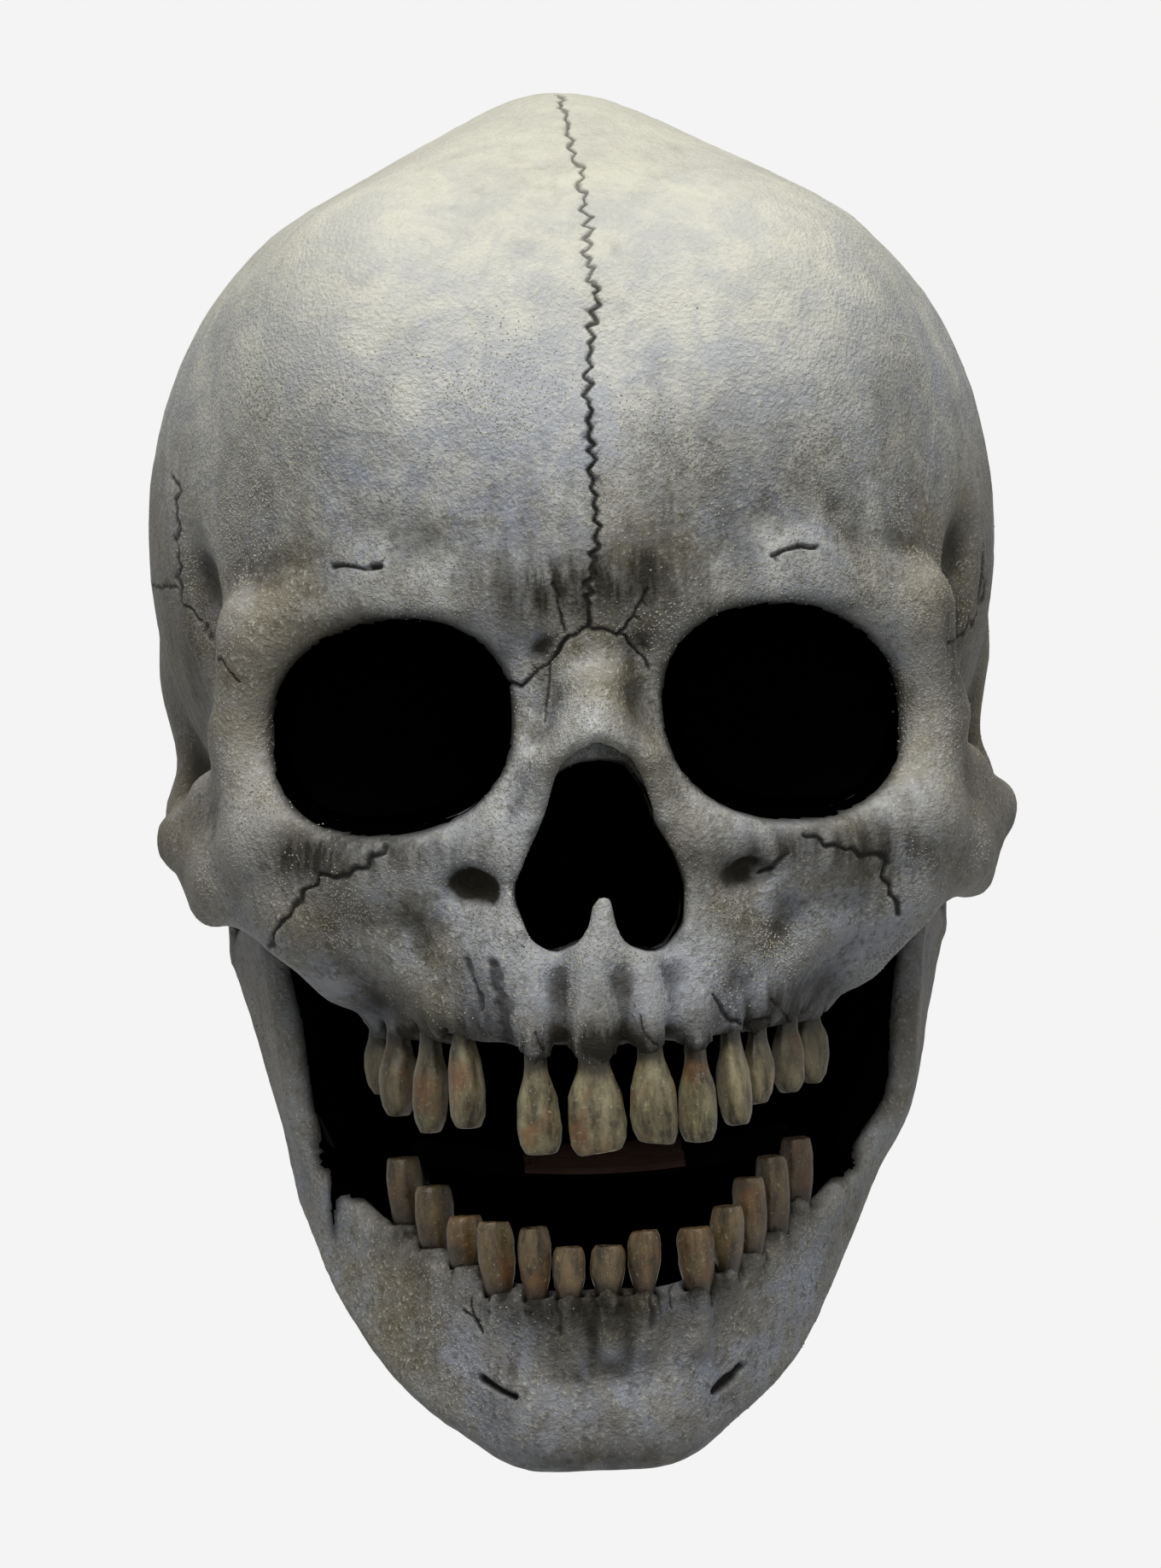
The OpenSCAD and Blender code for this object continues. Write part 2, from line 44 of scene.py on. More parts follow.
# Studio: the mask hangs against a pale sweep, well above the floor, and a wide softbox over
# the forehead lights it from above, so the crown is bright and the chin falls into shade.
# The camera is a long lens level with the cheeks, turned a little as the mask hangs askew.
MM = 0.001
LENS_MM = 166.5
STAND_OFF = 1300 * MM
EYE_LEVEL = 19 * MM
SIDE_STEP = math.radians(1.7)
PAN = math.radians(1.673)
ROLL = math.radians(2.3)
CAMERA_AT = (-STAND_OFF * math.sin(SIDE_STEP), -STAND_OFF * math.cos(SIDE_STEP), EYE_LEVEL)
FLOOR_RADIUS = 0.75
FLOOR_LEVEL = -0.75
PALE_CARD = "#f4f4f4"


def tint(hex_colour):
    """An sRGB hex colour as linear RGBA."""
    parts = [int(hex_colour[i:i + 2], 16) / 255 for i in (1, 3, 5)]
    return [c / 12.92 if c <= 0.04045 else ((c + 0.055) / 1.055) ** 2.4 for c in parts] + [1.0]


def node(tree, kind, inputs=None, **settings):
    """Adds one node with its settings; an input is a value or the socket that feeds it."""
    new = tree.nodes.new(kind)
    for key, value in settings.items():
        setattr(new, key, value)
    for key, value in (inputs or {}).items():
        if isinstance(value, bpy.types.NodeSocket):
            tree.links.new(value, new.inputs[key])
        else:
            new.inputs[key].default_value = value
    return new


scene = bpy.context.scene
scene.view_settings.view_transform = "Standard"

lens = bpy.data.cameras.new("long_lens")
lens.sensor_fit = "HORIZONTAL"
lens.sensor_width = 36
lens.lens = LENS_MM
lens.clip_end = 20
camera = bpy.data.objects.new("camera", lens)
scene.collection.objects.link(camera)
camera.matrix_world = (
    Matrix.Translation(CAMERA_AT) @ Matrix.Rotation(-PAN, 4, "Z")
    @ Matrix.Rotation(math.pi / 2, 4, "X") @ Matrix.Rotation(-ROLL, 4, "Z"))
scene.camera = camera

world = bpy.data.worlds.new("pale_sweep")
scene.world = world
world.use_nodes = True
sky = world.node_tree
sky.nodes.clear()
rays = node(sky, "ShaderNodeLightPath").outputs
seen = rays["Is Camera Ray"]
for ray in ("Is Glossy Ray", "Is Transmission Ray"):
    seen = node(sky, "ShaderNodeMath", {0: seen, 1: rays[ray]}, operation="MAXIMUM").outputs[0]
glow = node(sky, "ShaderNodeBackground", {"Color": tint("#e9eef4"), "Strength": 0.16})
sweep = node(sky, "ShaderNodeBackground", {"Color": tint(PALE_CARD), "Strength": 1.0})
sky_mix = node(sky, "ShaderNodeMixShader", {0: seen, 1: glow.outputs[0], 2: sweep.outputs[0]})
node(sky, "ShaderNodeOutputWorld", {"Surface": sky_mix.outputs[0]})


def lamp(name, stand, aim, size, power, colour):
    """A round lamp of this size and power, turned from where it stands to its aim, in metres."""
    light = bpy.data.lights.new(name, "AREA")
    light.shape = "DISK"
    light.size = size
    light.energy = power
    light.color = tint(colour)[:3]
    holder = bpy.data.objects.new(name, light)
    scene.collection.objects.link(holder)
    way = Vector(stand) - Vector(aim)
    holder.matrix_world = Matrix.Translation(stand) @ way.to_track_quat("Z", "Y").to_matrix().to_4x4()


lamp("softbox", stand=(-0.04, -0.92, 1.22), aim=(0, -0.02, 0.06), size=1.1, power=24.5, colour="#fdfbf6")
lamp("front_fill", stand=(0.25, -1.6, 0.25), aim=(0, 0, 0), size=0.9, power=1.5, colour="#eef2ff")

floor_mesh = bpy.data.meshes.new("floor")
floor_shape = bmesh.new()
bmesh.ops.create_circle(floor_shape, cap_ends=True, segments=96, radius=FLOOR_RADIUS)
bmesh.ops.translate(floor_shape, verts=floor_shape.verts, vec=(0, 0, FLOOR_LEVEL))
floor_shape.to_mesh(floor_mesh)
floor_shape.free()
floor = bpy.data.objects.new("floor", floor_mesh)
scene.collection.objects.link(floor)
# Matt card, so the floor shows the mask's soft shadow and nothing else
floor_paint = bpy.data.materials.new("pale_card")
floor_paint.use_nodes = True
card_coat = floor_paint.node_tree.nodes["Principled BSDF"].inputs
card_coat["Base Color"].default_value = tint(PALE_CARD)
card_coat["Roughness"].default_value = 0.9
floor_mesh.materials.append(floor_paint)

# Skull casting: the upper half of the mask, slush-cast in latex about 3.5 mm thick from a mould
# of a carved skull, with heavier bone over the face. It is modelled as clay is, by running
# lobes and bars of bone together, hollowing the inside, and then cutting the cracks.
WALL = 3.5
HEAD_MIDDLE = np.array([0, 16, 60])
# The braincase and the space behind the face, each a skin over lobes, as middle and radii in mm
LOBES = [
    ((38, 16, 80), (65, 112, 86)), ((0, 13, 75), (64, 125, 112)), ((34, -48, 107), (48, 56, 54)),
    ((38, 12, 2), (37, 74, 40)), ((0, 50, 40), (78, 78, 62))]
FACE_ROOM = [
    ((40, -44, 40), 16), ((26, -63, -12), 12), ((26, -70, -78), 14), ((50, -30, -78), 14),
    ((44, 30, -40), 14)]
# The marks that bars and plates of bone run between, as middle and radius, for the left side
BONE = {
    "glabella": ((0, -101, 60), 11), "brow_in": ((17, -99, 60), 10), "brow_mid": ((46, -91, 64), 9.5),
    "brow_out": ((73.5, -74, 56), 8.5), "rim_out": ((79, -66, 33), 6), "rim_low": ((72, -71, 8), 9.5),
    "rim_mid": ((49, -87, 2), 8), "rim_in": ((21, -99, 5), 8), "nose_side": ((16, -97, 46), 6),
    "nasion": ((0, -101, 53), 6), "nose_mid": ((0, -112.5, 41), 3.4),
    "nose_tip": ((0.6, -121.5, 30.5), 2.3), "nose_lip": ((10.5, -115, 24.5), 1.9),
    "nose_foot": ((17, -101, 27), 5), "nose_edge": ((13.8, -108.5, 12), 2.2),
    "nose_wide": ((20, -105, 0), 2.4), "nose_low": ((18.5, -108, -13), 3), "cheek": ((64, -71, -6), 12.5),
    "cheek_back": ((82, -54, 1), 9), "cheek_low": ((57, -69, -20), 8), "arch_low": ((88, -45, -5), 6.5),
    "arch_front": ((94, -30, 9.5), 5.5), "arch_mid": ((95.5, -8, 11), 5.5),
    "arch_root": ((92, 16, 14), 9), "mastoid": ((89, 26, 3), 11), "temporal": ((87, 22, 47), 14),
    "temporal_low": ((87, 20, 25), 11), "temporal_back": ((84, 34, 44), 13),
    "maxilla_top": ((24, -94, 0), 11), "maxilla_side": ((45, -78, -10), 12),
    "gum_back": ((46, -65, -31), 6), "gum_bend": ((32.5, -92, -31), 5.5),
    "gum_side": ((18, -106.5, -32), 5), "gum_front": ((0, -111.5, -33), 5), "temple": ((70, -30, 50), 14)}
# The marks of two hollows, one behind each outer eye rim and one beside each nose bone
TEMPLE_HOLLOW = [((94, -53, 34), 11), ((93, -56, 48), 12.5), ((96, -55, 68), 12), ((101, -52, 90), 7)]
NOSE_HOLLOW = [((10.5, -109, 49), 1.2), ((12.5, -111, 39), 3), ((15.5, -112, 31), 3)]
# An eye hole's middle and half sizes, how square it is, how its cup draws in and how its axis slopes
EYE = (45.4, 33.2)
EYE_HALF = (28.0, 22.6)
EYE_SQUARE = 2.3
EYE_TAPER = 0.18
EYE_SLOPE = 0.06
RIGHT_EYE_SHIFT = 3.0
EYE_CUP_BACK, EYE_HOLE_BACK = -60, -50
# The nose hole as it is seen from in front: two lobes below, with a broken point between them
NOSE_MIDDLE = (0, 3)
NOSE_BACK = -60
NOSE_OUTLINE = [
    (1.2, 24.1), (6.9, 23.3), (11.0, 17.1), (13.0, 9.4), (16.5, 2.6), (18.7, -5.1), (17.8, -12.6),
    (14.8, -17.3), (10.9, -19.0), (6.2, -17.5), (2, -15.5), (-2, -15.5), (-7.0, -17), (-11.9, -18.6),
    (-16.5, -15.0), (-19.0, -7.3), (-19.2, -2.6), (-16.7, 3.0), (-13.3, 8.6), (-11.5, 14.2),
    (-10.4, 18.0), (-8.4, 21.7), (-3.5, 23.8)]
# The nerve hole under each eye, the dent round it, and the spine at the foot of the nose hole
NERVE_HOLES = [
    [((-25, -105.5, -3.6), 2.6), ((-28.5, -103, -1.8), 3.4), ((-32.5, -103, -3), 2.2)],
    [((29.5, -105, -3), 2.6), ((33, -102, -1.4), 3.4), ((37.5, -101.5, -2.6), 2.2)]]
CHEEK_DENT = ((31, -113.5, -6), 6), ((33, -112, -8), 6)
NOSE_SPINE = ((-0.5, -112, -19), 4.8), ((0, -113.5, -8), 2.5)
# The hinge's boss, the pocket for the jaw's ear and the room for the rivet, as radius and span in x
HINGE_BOSS, EAR_POCKET, RIVET_ROOM = (10, 67.8, 78.8), (13.5, 78.8, 93.2), (9, 55.8, 69.8)
# The scrims' seats and the ring round the nose scrim's, as radius and span in y
EYE_SEAT, NOSE_SEAT, NOSE_RING = (25.5, -59.8, -36.2), (26.5, -72, -48), (27.5, -82, -72)
# Upper teeth, as x, set-back, length below the gum line, rise of the gum, width, depth and turn in degrees
UPPER_TEETH = [
    (-51, 50, 12, 1, 7, 8, 72), (-46.8, 40, 16.5, 1, 8.4, 8.5, 62), (-39.5, 28, 20, 1, 7, 8, 52),
    (-32.2, 17.5, 18.6, 4, 8.2, 7.5, 42), (-16.3, 0, 24, -3, 9.6, 7, 14), (-3.6, -4, 24, -2, 13, 7, 3),
    (9, -2.5, 22.5, -1, 10.6, 7, -7), (19.3, 3.5, 22.8, -3, 8.6, 7, -26), (27.6, 11.5, 20, 0, 7.4, 7.2, -40),
    (34.2, 19.5, 16, -1, 6, 7, -48), (41.8, 32, 14.5, 0, 6.6, 7.5, -57), (47.6, 44, 13, 1, 7.6, 8, -68)]
UPPER_FRONT, UPPER_GUM = -112, -38

WAY_COUNT = 2400
spiral = np.arange(WAY_COUNT) + 0.5
spiral_z = 1 - 2 * spiral / len(spiral)
spiral_a = spiral * math.pi * (3 - math.sqrt(5))
spiral_r = np.sqrt(1 - spiral_z ** 2)
WAYS = np.stack([np.cos(spiral_a) * spiral_r, np.sin(spiral_a) * spiral_r, spiral_z], 1)


def hull_gap(p, eggs, batch=20000):
    """Distance of points from a skin stretched over eggs, as middle and radii, below zero inside."""
    centres = np.array([e[0] for e in eggs], float)
    radii = np.array([np.ones(3) * e[1] for e in eggs], float)
    reach = (centres @ WAYS.T + np.sqrt((radii ** 2) @ (WAYS ** 2).T)).max(0)
    gap = np.empty(len(p))
    for i in range(0, len(p), batch):
        gap[i:i + batch] = (p[i:i + batch] @ WAYS.T - reach).max(1)
    return gap


def both_sides(eggs):
    """Eggs of the left side, and their likes on the right."""
    return list(eggs) + [((-e[0][0],) + tuple(e[0][1:]), e[1]) for e in eggs if e[0][0]]


def folded(p):
    """Points with the right side turned over to the left, where most marks are given."""
    return np.concatenate([np.abs(p[:, :1]), p[:, 1:]], 1)


def sampled(gap, lo, hi, step):
    """gap read from a lattice of its values, for forms that are slow to work out."""
    axes = [np.arange(a, b + step, step) for a, b in zip(lo, hi)]
    grid = gap(np.stack(np.meshgrid(*axes, indexing="ij"), -1).reshape(-1, 3))
    grid = grid.reshape([len(a) for a in axes]).astype("f")
    low, last = np.array(lo, "f"), np.array(grid.shape) - 2

    def read(p):
        t = (p - low) / step
        i = np.clip(np.floor(t).astype(np.int32), 0, last)
        f = (t - i).astype("f")
        value = np.zeros(len(p), "f")
        for a, b, c in np.ndindex(2, 2, 2):
            share = (f[:, 0] if a else 1 - f[:, 0]) * (f[:, 1] if b else 1 - f[:, 1])
            share = share * (f[:, 2] if c else 1 - f[:, 2])
            value += share * grid[i[:, 0] + a, i[:, 1] + b, i[:, 2] + c]
        return value
    return read


def join(a, b, k):
    """Two forms run together over a fillet k wide."""
    h = np.clip(0.5 + 0.5 * (b - a) / k, 0, 1)
    return b + (a - b) * h - k * h * (1 - h)


def carve(a, b, k):
    """Form a with form b cut out of it, the edge rounded over k."""
    return -join(-a, b, k)


def bar(p, a, b):
    """A round bar from mark a to mark b, each a point and a radius."""
    start = np.array(a[0], "f")
    run = np.array(b[0], "f") - start
    t = np.clip((p - start) @ run / max(run @ run, 1e-6), 0, 1)
    away = p - start - t[:, None] * run
    return np.sqrt(np.einsum("ij,ij->i", away, away)) - (a[1] + (b[1] - a[1]) * t)


def plate(p, a, b, c):
    """A rounded plate between three marks."""
    edge = np.minimum(np.minimum(bar(p, a, b), bar(p, b, c)), bar(p, c, a))
    start = np.array(a[0], "f")
    u, v, w = np.array(b[0], "f") - start, np.array(c[0], "f") - start, p - start
    uu, uv, vv, wu, wv = u @ u, u @ v, v @ v, w @ u, w @ v
    den = uu * vv - uv * uv
    s, t = (vv * wu - uv * wv) / den, (uu * wv - uv * wu) / den
    normal = np.cross(u, v)
    normal /= np.linalg.norm(normal)
    flat = np.abs(w @ normal) - (a[1] + (b[1] - a[1]) * s + (c[1] - a[1]) * t)
    inside = (s >= 0) & (t >= 0) & (s + t <= 1)
    return np.where(inside, np.minimum(edge, flat), edge)


def outline_gap(x, z, outline):
    """Distance from a closed outline in the face plane, below zero inside."""
    best, inside = np.full(len(x), 1e9, "f"), np.zeros(len(x), bool)
    for (x0, z0), (x1, z1) in zip(outline, outline[1:] + outline[:1]):
        run_x, run_z = x1 - x0, z1 - z0
        t = np.clip(((x - x0) * run_x + (z - z0) * run_z) / (run_x ** 2 + run_z ** 2), 0, 1)
        best = np.minimum(best, np.hypot(x - x0 - t * run_x, z - z0 - t * run_z))
        if run_z:
            inside ^= ((z0 > z) != (z1 > z)) & (x < run_x * (z - z0) / run_z + x0)
    return np.where(inside, -best, best)


def lumps(p, size, seed):
    """Smooth random heights from -1 to 1, about size mm across, the same on each run."""
    t = np.asarray(p, float) / size + seed * 17.31
    i = np.floor(t).astype(np.int64)
    f = t - i
    f = f * f * (3 - 2 * f)
    value = np.zeros(len(t))
    # Each corner of a cell gets its own height, from its place mixed by large whole numbers
    for corner in range(8):
        step = np.array([corner & 1, corner >> 1 & 1, corner >> 2 & 1])
        h = (i + step) @ np.array([73856093, 19349663, 83492791])
        h = (h ^ (h >> 13)) * 1274126177
        h = ((h ^ (h >> 16)) & 0xffff) / 32767.5 - 1
        value += h * np.prod(np.where(step, f, 1 - f), axis=1)
    return value


def sculpt(field, lo, hi, step, batch=250000):
    """The skin of a form as vertices and quads: a lattice of gaps, fine near the skin only."""
    wide = 4 * step
    lo = np.array(lo, "f")
    size = np.ceil((np.array(hi) - lo) / wide).astype(int) + 1
    places = np.stack(np.meshgrid(*[np.arange(n) for n in size], indexing="ij"), -1).reshape(-1, 3)
    gap = field((lo + places * wide).astype("f")).reshape(size).astype("f")
    for axis in range(3):
        gap = np.moveaxis(gap, axis, 0)
        steps = [gap[:-1] + (gap[1:] - gap[:-1]) * k / 4 for k in range(4)]
        gap = np.concatenate([np.stack(steps, 1).reshape((-1,) + gap.shape[1:]), gap[-1:]])
        gap = np.moveaxis(gap, 0, axis)
    gap = np.ascontiguousarray(gap)
    near = np.argwhere(np.abs(gap) < 1.3 * wide)
    for i in range(0, len(near), batch):
        part = near[i:i + batch]
        gap[part[:, 0], part[:, 1], part[:, 2]] = field((lo + part * step).astype("f"))
    solid = gap < 0
    n = np.array(gap.shape) - 1
    corners = [np.array([c & 1, c >> 1 & 1, c >> 2 & 1]) for c in range(8)]
    count = np.zeros(n, np.int8)
    for c in corners:
        count += solid[c[0]:c[0] + n[0], c[1]:c[1] + n[1], c[2]:c[2] + n[2]]
    cells = np.argwhere((count > 0) & (count < 8))
    value = [gap[tuple((cells + c).T)] for c in corners]
    total, hits = np.zeros((len(cells), 3)), np.zeros(len(cells))
    for a in range(8):
        for axis in range(3):
            b = a | 1 << axis
            if b == a:
                continue
            cross = (value[a] < 0) != (value[b] < 0)
            t = np.where(cross, value[a] / np.where(cross, value[a] - value[b], 1), 0)
            spot = np.tile(corners[a].astype(float), (len(cells), 1))
            spot[:, axis] += t
            total += spot * cross[:, None]
            hits += cross
    verts = lo + (cells + total / hits[:, None]) * step
    index = np.full(n, -1, np.int32)
    index[tuple(cells.T)] = np.arange(len(cells))
    quads = []
    for axis in range(3):
        u, v = np.eye(3, dtype=int)[(axis + 1) % 3], np.eye(3, dtype=int)[(axis + 2) % 3]
        first = np.moveaxis(solid, axis, 0)
        e = np.argwhere(np.moveaxis(first[:-1] != first[1:], 0, axis))
        e = e[np.all((e >= u + v) & (e < n), axis=1)]
        ring = np.stack([index[tuple((e - o).T)] for o in (u + v, v, 0 * u, u)], 1)
        out = solid[tuple(e.T)]
        quads.append(np.where(out[:, None], ring, ring[:, ::-1]))
    return verts, np.concatenate(quads)


def mesh_of(name, verts, faces):
    """A new object with these vertices, in mm, and faces of equal corner count."""
    faces = np.asarray(faces)
    mesh = bpy.data.meshes.new(name)
    mesh.vertices.add(len(verts))
    mesh.vertices.foreach_set("co", np.asarray(verts, "f").ravel() * MM)
    mesh.loops.add(faces.size)
    mesh.loops.foreach_set("vertex_index", faces.ravel().astype(np.int32))
    mesh.polygons.add(len(faces))
    mesh.polygons.foreach_set("loop_start", np.arange(len(faces), dtype=np.int32) * faces.shape[1])
    mesh.update(calc_edges=True)
    mesh.validate()
    mesh.shade_smooth()
    piece = bpy.data.objects.new(name, mesh)
    scene.collection.objects.link(piece)
    return piece


def points_of(piece):
    """The vertices of a piece in mm."""
    co = np.empty(len(piece.data.vertices) * 3, "f")
    piece.data.vertices.foreach_get("co", co)
    return co.reshape(-1, 3).astype(float) / MM


def normals_of(piece):
    """The way each vertex of a piece faces."""
    piece.data.update()
    way = np.empty(len(piece.data.vertices) * 3, "f")
    piece.data.vertices.foreach_get("normal", way)
    return way.reshape(-1, 3).astype(float)


def place(piece, verts):
    """Moves the vertices of a piece to new places in mm."""
    piece.data.vertices.foreach_set("co", (verts * MM).astype("f").ravel())
    piece.data.update()


def edges_of(piece):
    """The two vertices of each edge of a piece."""
    pairs = np.empty(len(piece.data.edges) * 2, np.int32)
    piece.data.edges.foreach_get("vertices", pairs)
    return pairs.reshape(-1, 2)


def relax(values, pairs, rounds):
    """Values at the vertices, evened out over their neighbours."""
    flat = values.reshape(len(values), -1)
    a = np.concatenate([pairs[:, 0], pairs[:, 1]])
    b = np.concatenate([pairs[:, 1], pairs[:, 0]])
    count = np.maximum(np.bincount(a, minlength=len(flat)), 1)
    for _ in range(rounds):
        mean = np.stack([np.bincount(a, flat[b, k], len(flat)) / count for k in range(flat.shape[1])], 1)
        flat = 0.5 * flat + 0.5 * mean
    return flat.reshape(values.shape)


def ease(x, a, b):
    """0 below a, 1 above b, and a smooth step between."""
    t = np.clip((x - a) / (b - a), 0, 1)
    return t * t * (3 - 2 * t)


def mark(piece, name, values):
    """Stores a value for each vertex, which materials and trees read by its name."""
    layer = piece.data.attributes.new(name, "FLOAT", "POINT")
    layer.data.foreach_set("value", np.asarray(values, "f"))


FORM_STEP = 4
case_gap = sampled(lambda p: hull_gap(p, both_sides(LOBES)), (-4, -140, -70), (116, 152, 200), FORM_STEP)
room_gap = sampled(lambda p: hull_gap(p, both_sides(FACE_ROOM)), (-4, -100, -100), (84, 60, 70), FORM_STEP)
RIM_FRONT, RIM_RISE, RIM_RUN = -14, 25, 138


def rim_height(y):
    """The height of the cut rim, level over the jaw and rising to the nape."""
    return RIM_FRONT + RIM_RISE * np.clip(y, 0, None) / RIM_RUN


def eye_oval(p):
    """How far a point is outside an eye cup, which narrows towards its back, flares at the rim and
    on the right side of the mask sits a little further out."""
    taper = 1 - EYE_TAPER * np.clip((p[:, 1] + 90) / 30, -0.3, 1)
    x = np.abs(p[:, 0])
    out = EYE[0] + RIGHT_EYE_SHIFT * (p[:, 0] < 0) * np.clip((-62 - p[:, 1]) / 25, 0, 1)
    u = (x - out) / (EYE_HALF[0] * taper)
    w = (p[:, 2] - EYE[1] + EYE_SLOPE * (x - EYE[0])) / (EYE_HALF[1] * taper)
    reach = np.power(np.abs(u) ** EYE_SQUARE + np.abs(w) ** EYE_SQUARE, 1 / EYE_SQUARE)
    return (reach - 1) * EYE_HALF[1]


def tooth_oval(p, tooth, front, w_share, d_share):
    """How far a point is outside a tooth's plan, drawn in to these shares of its half sizes."""
    x, dy, _, _, w, d, turn = tooth
    a = math.radians(turn)
    dx, dz = p[:, 0] - x, p[:, 1] - front - dy
    u = (dx * math.cos(a) + dz * math.sin(a)) / (w * w_share)
    v = (dz * math.cos(a) - dx * math.sin(a)) / (d * d_share)
    return (np.sqrt(u * u + v * v) - 1) * min(w * w_share, d * d_share)


def bone_run(q, stops, k):
    """Bars from mark to mark, run together over k."""
    run = bar(q, stops[0], stops[1])
    for start, end in zip(stops[1:], stops[2:]):
        run = join(run, bar(q, start, end), k)
    return run


def head_room(q, case):
    """The space for the wearer's head, kept a wall's thickness clear of the temple hollows."""
    return carve(case + WALL, bone_run(q, TEMPLE_HOLLOW, 4) - 1.4 * WALL, 10)


def marks(names):
    """The marks of bone that these words name."""
    return [BONE[name] for name in names.split()]


def face_field(q, case):
    """The solid face: the braincase with the eye rims, cheeks, gums, nose bones and arches run on to it."""
    ring = "glabella brow_in brow_mid brow_out rim_out rim_low rim_mid rim_in nose_side"
    face = join(case, bone_run(q, marks(ring), 5), 10)
    bones = plate(q, *marks("rim_mid cheek rim_low"))
    for trio in (
            "rim_low cheek cheek_back", "rim_mid rim_in maxilla_top", "rim_mid maxilla_top maxilla_side",
            "rim_mid maxilla_side cheek", "cheek maxilla_side cheek_low", "cheek_low maxilla_side gum_back",
            "cheek cheek_low cheek_back", "maxilla_top maxilla_side gum_bend",
            "maxilla_side gum_back gum_bend", "maxilla_top gum_bend gum_side",
            "maxilla_top gum_side gum_front", "brow_out rim_out temple", "rim_low cheek_back arch_front",
            "cheek_back arch_low arch_front", "rim_out rim_low arch_front"):
        bones = join(bones, plate(q, *marks(trio)), 5)
    face = join(face, bones, 7)
    nose = plate(q, *marks("nasion nose_mid nose_side"))
    for trio in (
            "nose_mid nose_side nose_foot", "nose_mid nose_lip nose_foot", "nose_mid nose_tip nose_lip",
            "nose_lip nose_foot nose_edge", "nose_foot nose_edge rim_in", "nose_edge nose_wide rim_in"):
        nose = join(nose, plate(q, *marks(trio)), 2)
    nose = join(nose, bone_run(q, marks("nose_lip nose_edge nose_wide nose_low"), 2), 2)
    face = join(face, nose, 4)
    face = carve(face, bone_run(q, NOSE_HOLLOW, 3), 5)
    face = join(face, bone_run(q, marks("arch_front arch_mid arch_root mastoid"), 4), 6)
    face = join(face, plate(q, *marks("temporal temporal_low temporal_back")), 9)
    return carve(face, bone_run(q, TEMPLE_HOLLOW, 4), 3.5)


def hinge_drum(q, radius, near, far):
    """A drum on the hinge's axis, between two x on either side of the mask."""
    return np.maximum.reduce([np.hypot(q[:, 1], q[:, 2]) - radius, near - q[:, 0], q[:, 0] - far])


def seat_drum(q, middle, radius, near, far):
    """A drum that faces forward, round middle on the face and between two y."""
    aside = np.hypot(q[:, 0] - middle[0], q[:, 2] - middle[1]) - radius
    return np.maximum.reduce([aside, near - q[:, 1], q[:, 1] - far])


FACE_BACK = 62


def skull_field(p):
    """The casting: outside less head room, then cups, gums, roots and bosses on, and holes and seats out."""
    q = folded(p)
    case = case_gap(q)
    skull = -join(-case, p[:, 2] - rim_height(p[:, 1]), 2)
    front = np.flatnonzero(p[:, 1] < FACE_BACK)
    p1, q1 = p[front], q[front]
    solid = face_field(q1, skull[front])
    face = carve(solid, head_room(q1, case[front]), 1.5)
    # The room behind the face leaves a wall's thickness between the eyes
    kept = np.where((p1[:, 1] < -86) & (p1[:, 2] > 8), solid + WALL, -99)
    face = carve(face, np.maximum(room_gap(q1), kept), 3)
    eye = eye_oval(p1)
    cup = np.maximum.reduce([eye - WALL, p1[:, 1] - EYE_CUP_BACK, solid])
    face = join(face, cup, 1)
    face = join(face, bone_run(q1, marks("gum_front gum_side gum_bend gum_back"), 3), 5)
    for x, dy, _, gum, w, _, _ in UPPER_TEETH:
        y, z = UPPER_FRONT + dy, UPPER_GUM + gum
        root = bar(p1, ((x, y - 2, z + 2), w * 0.46), ((x * 0.94, y + 3, z + 15 + 5 * (w > 8)), w * 0.34))
        face = join(face, root, 2.4)
    face = join(face, seat_drum(q1, NOSE_MIDDLE, *NOSE_RING), 2)
    face = join(face, hinge_drum(q1, *HINGE_BOSS), 1)
    face = carve(face, np.maximum(eye, p1[:, 1] - EYE_HOLE_BACK), 4)
    pear = outline_gap(p1[:, 0], p1[:, 2], NOSE_OUTLINE)
    face = carve(face, np.maximum(pear + 0.7 * lumps(p1, 3.2, 9), p1[:, 1] - NOSE_BACK), 1.2)
    face = join(face, bar(p1, *NOSE_SPINE), 4)
    face = carve(face, seat_drum(q1, NOSE_MIDDLE, *NOSE_SEAT), 0.5)
    face = carve(face, seat_drum(q1, EYE, *EYE_SEAT), 0.5)
    face = carve(face, hinge_drum(q1, *EAR_POCKET), 0.8)
    face = carve(face, hinge_drum(q1, *RIVET_ROOM), 0.5)
    for nerve_hole in NERVE_HOLES:
        face = carve(face, bone_run(p1, nerve_hole, 1), 1)
    face = carve(face, bar(q1, *CHEEK_DENT), 9)
    for tooth in UPPER_TEETH:
        socket_top = UPPER_GUM + tooth[3] + 3.5
        socket = np.maximum(tooth_oval(p1, tooth, UPPER_FRONT, 0.42, 0.44), p1[:, 2] - socket_top)
        face = carve(face, socket, 1.2)
    skull[front] = face
    rest = np.setdiff1d(np.arange(len(p)), front, assume_unique=True)
    skull[rest] = carve(skull[rest], case[rest] + WALL, 1.5)
    return skull


SKULL_STEP = 1.8
SKULL_BOX = (-112, -136, -66), (112, 146, 196)
skull = mesh_of("skull_casting", *sculpt(skull_field, *SKULL_BOX, SKULL_STEP))
place(skull, relax(points_of(skull), edges_of(skull), 2))


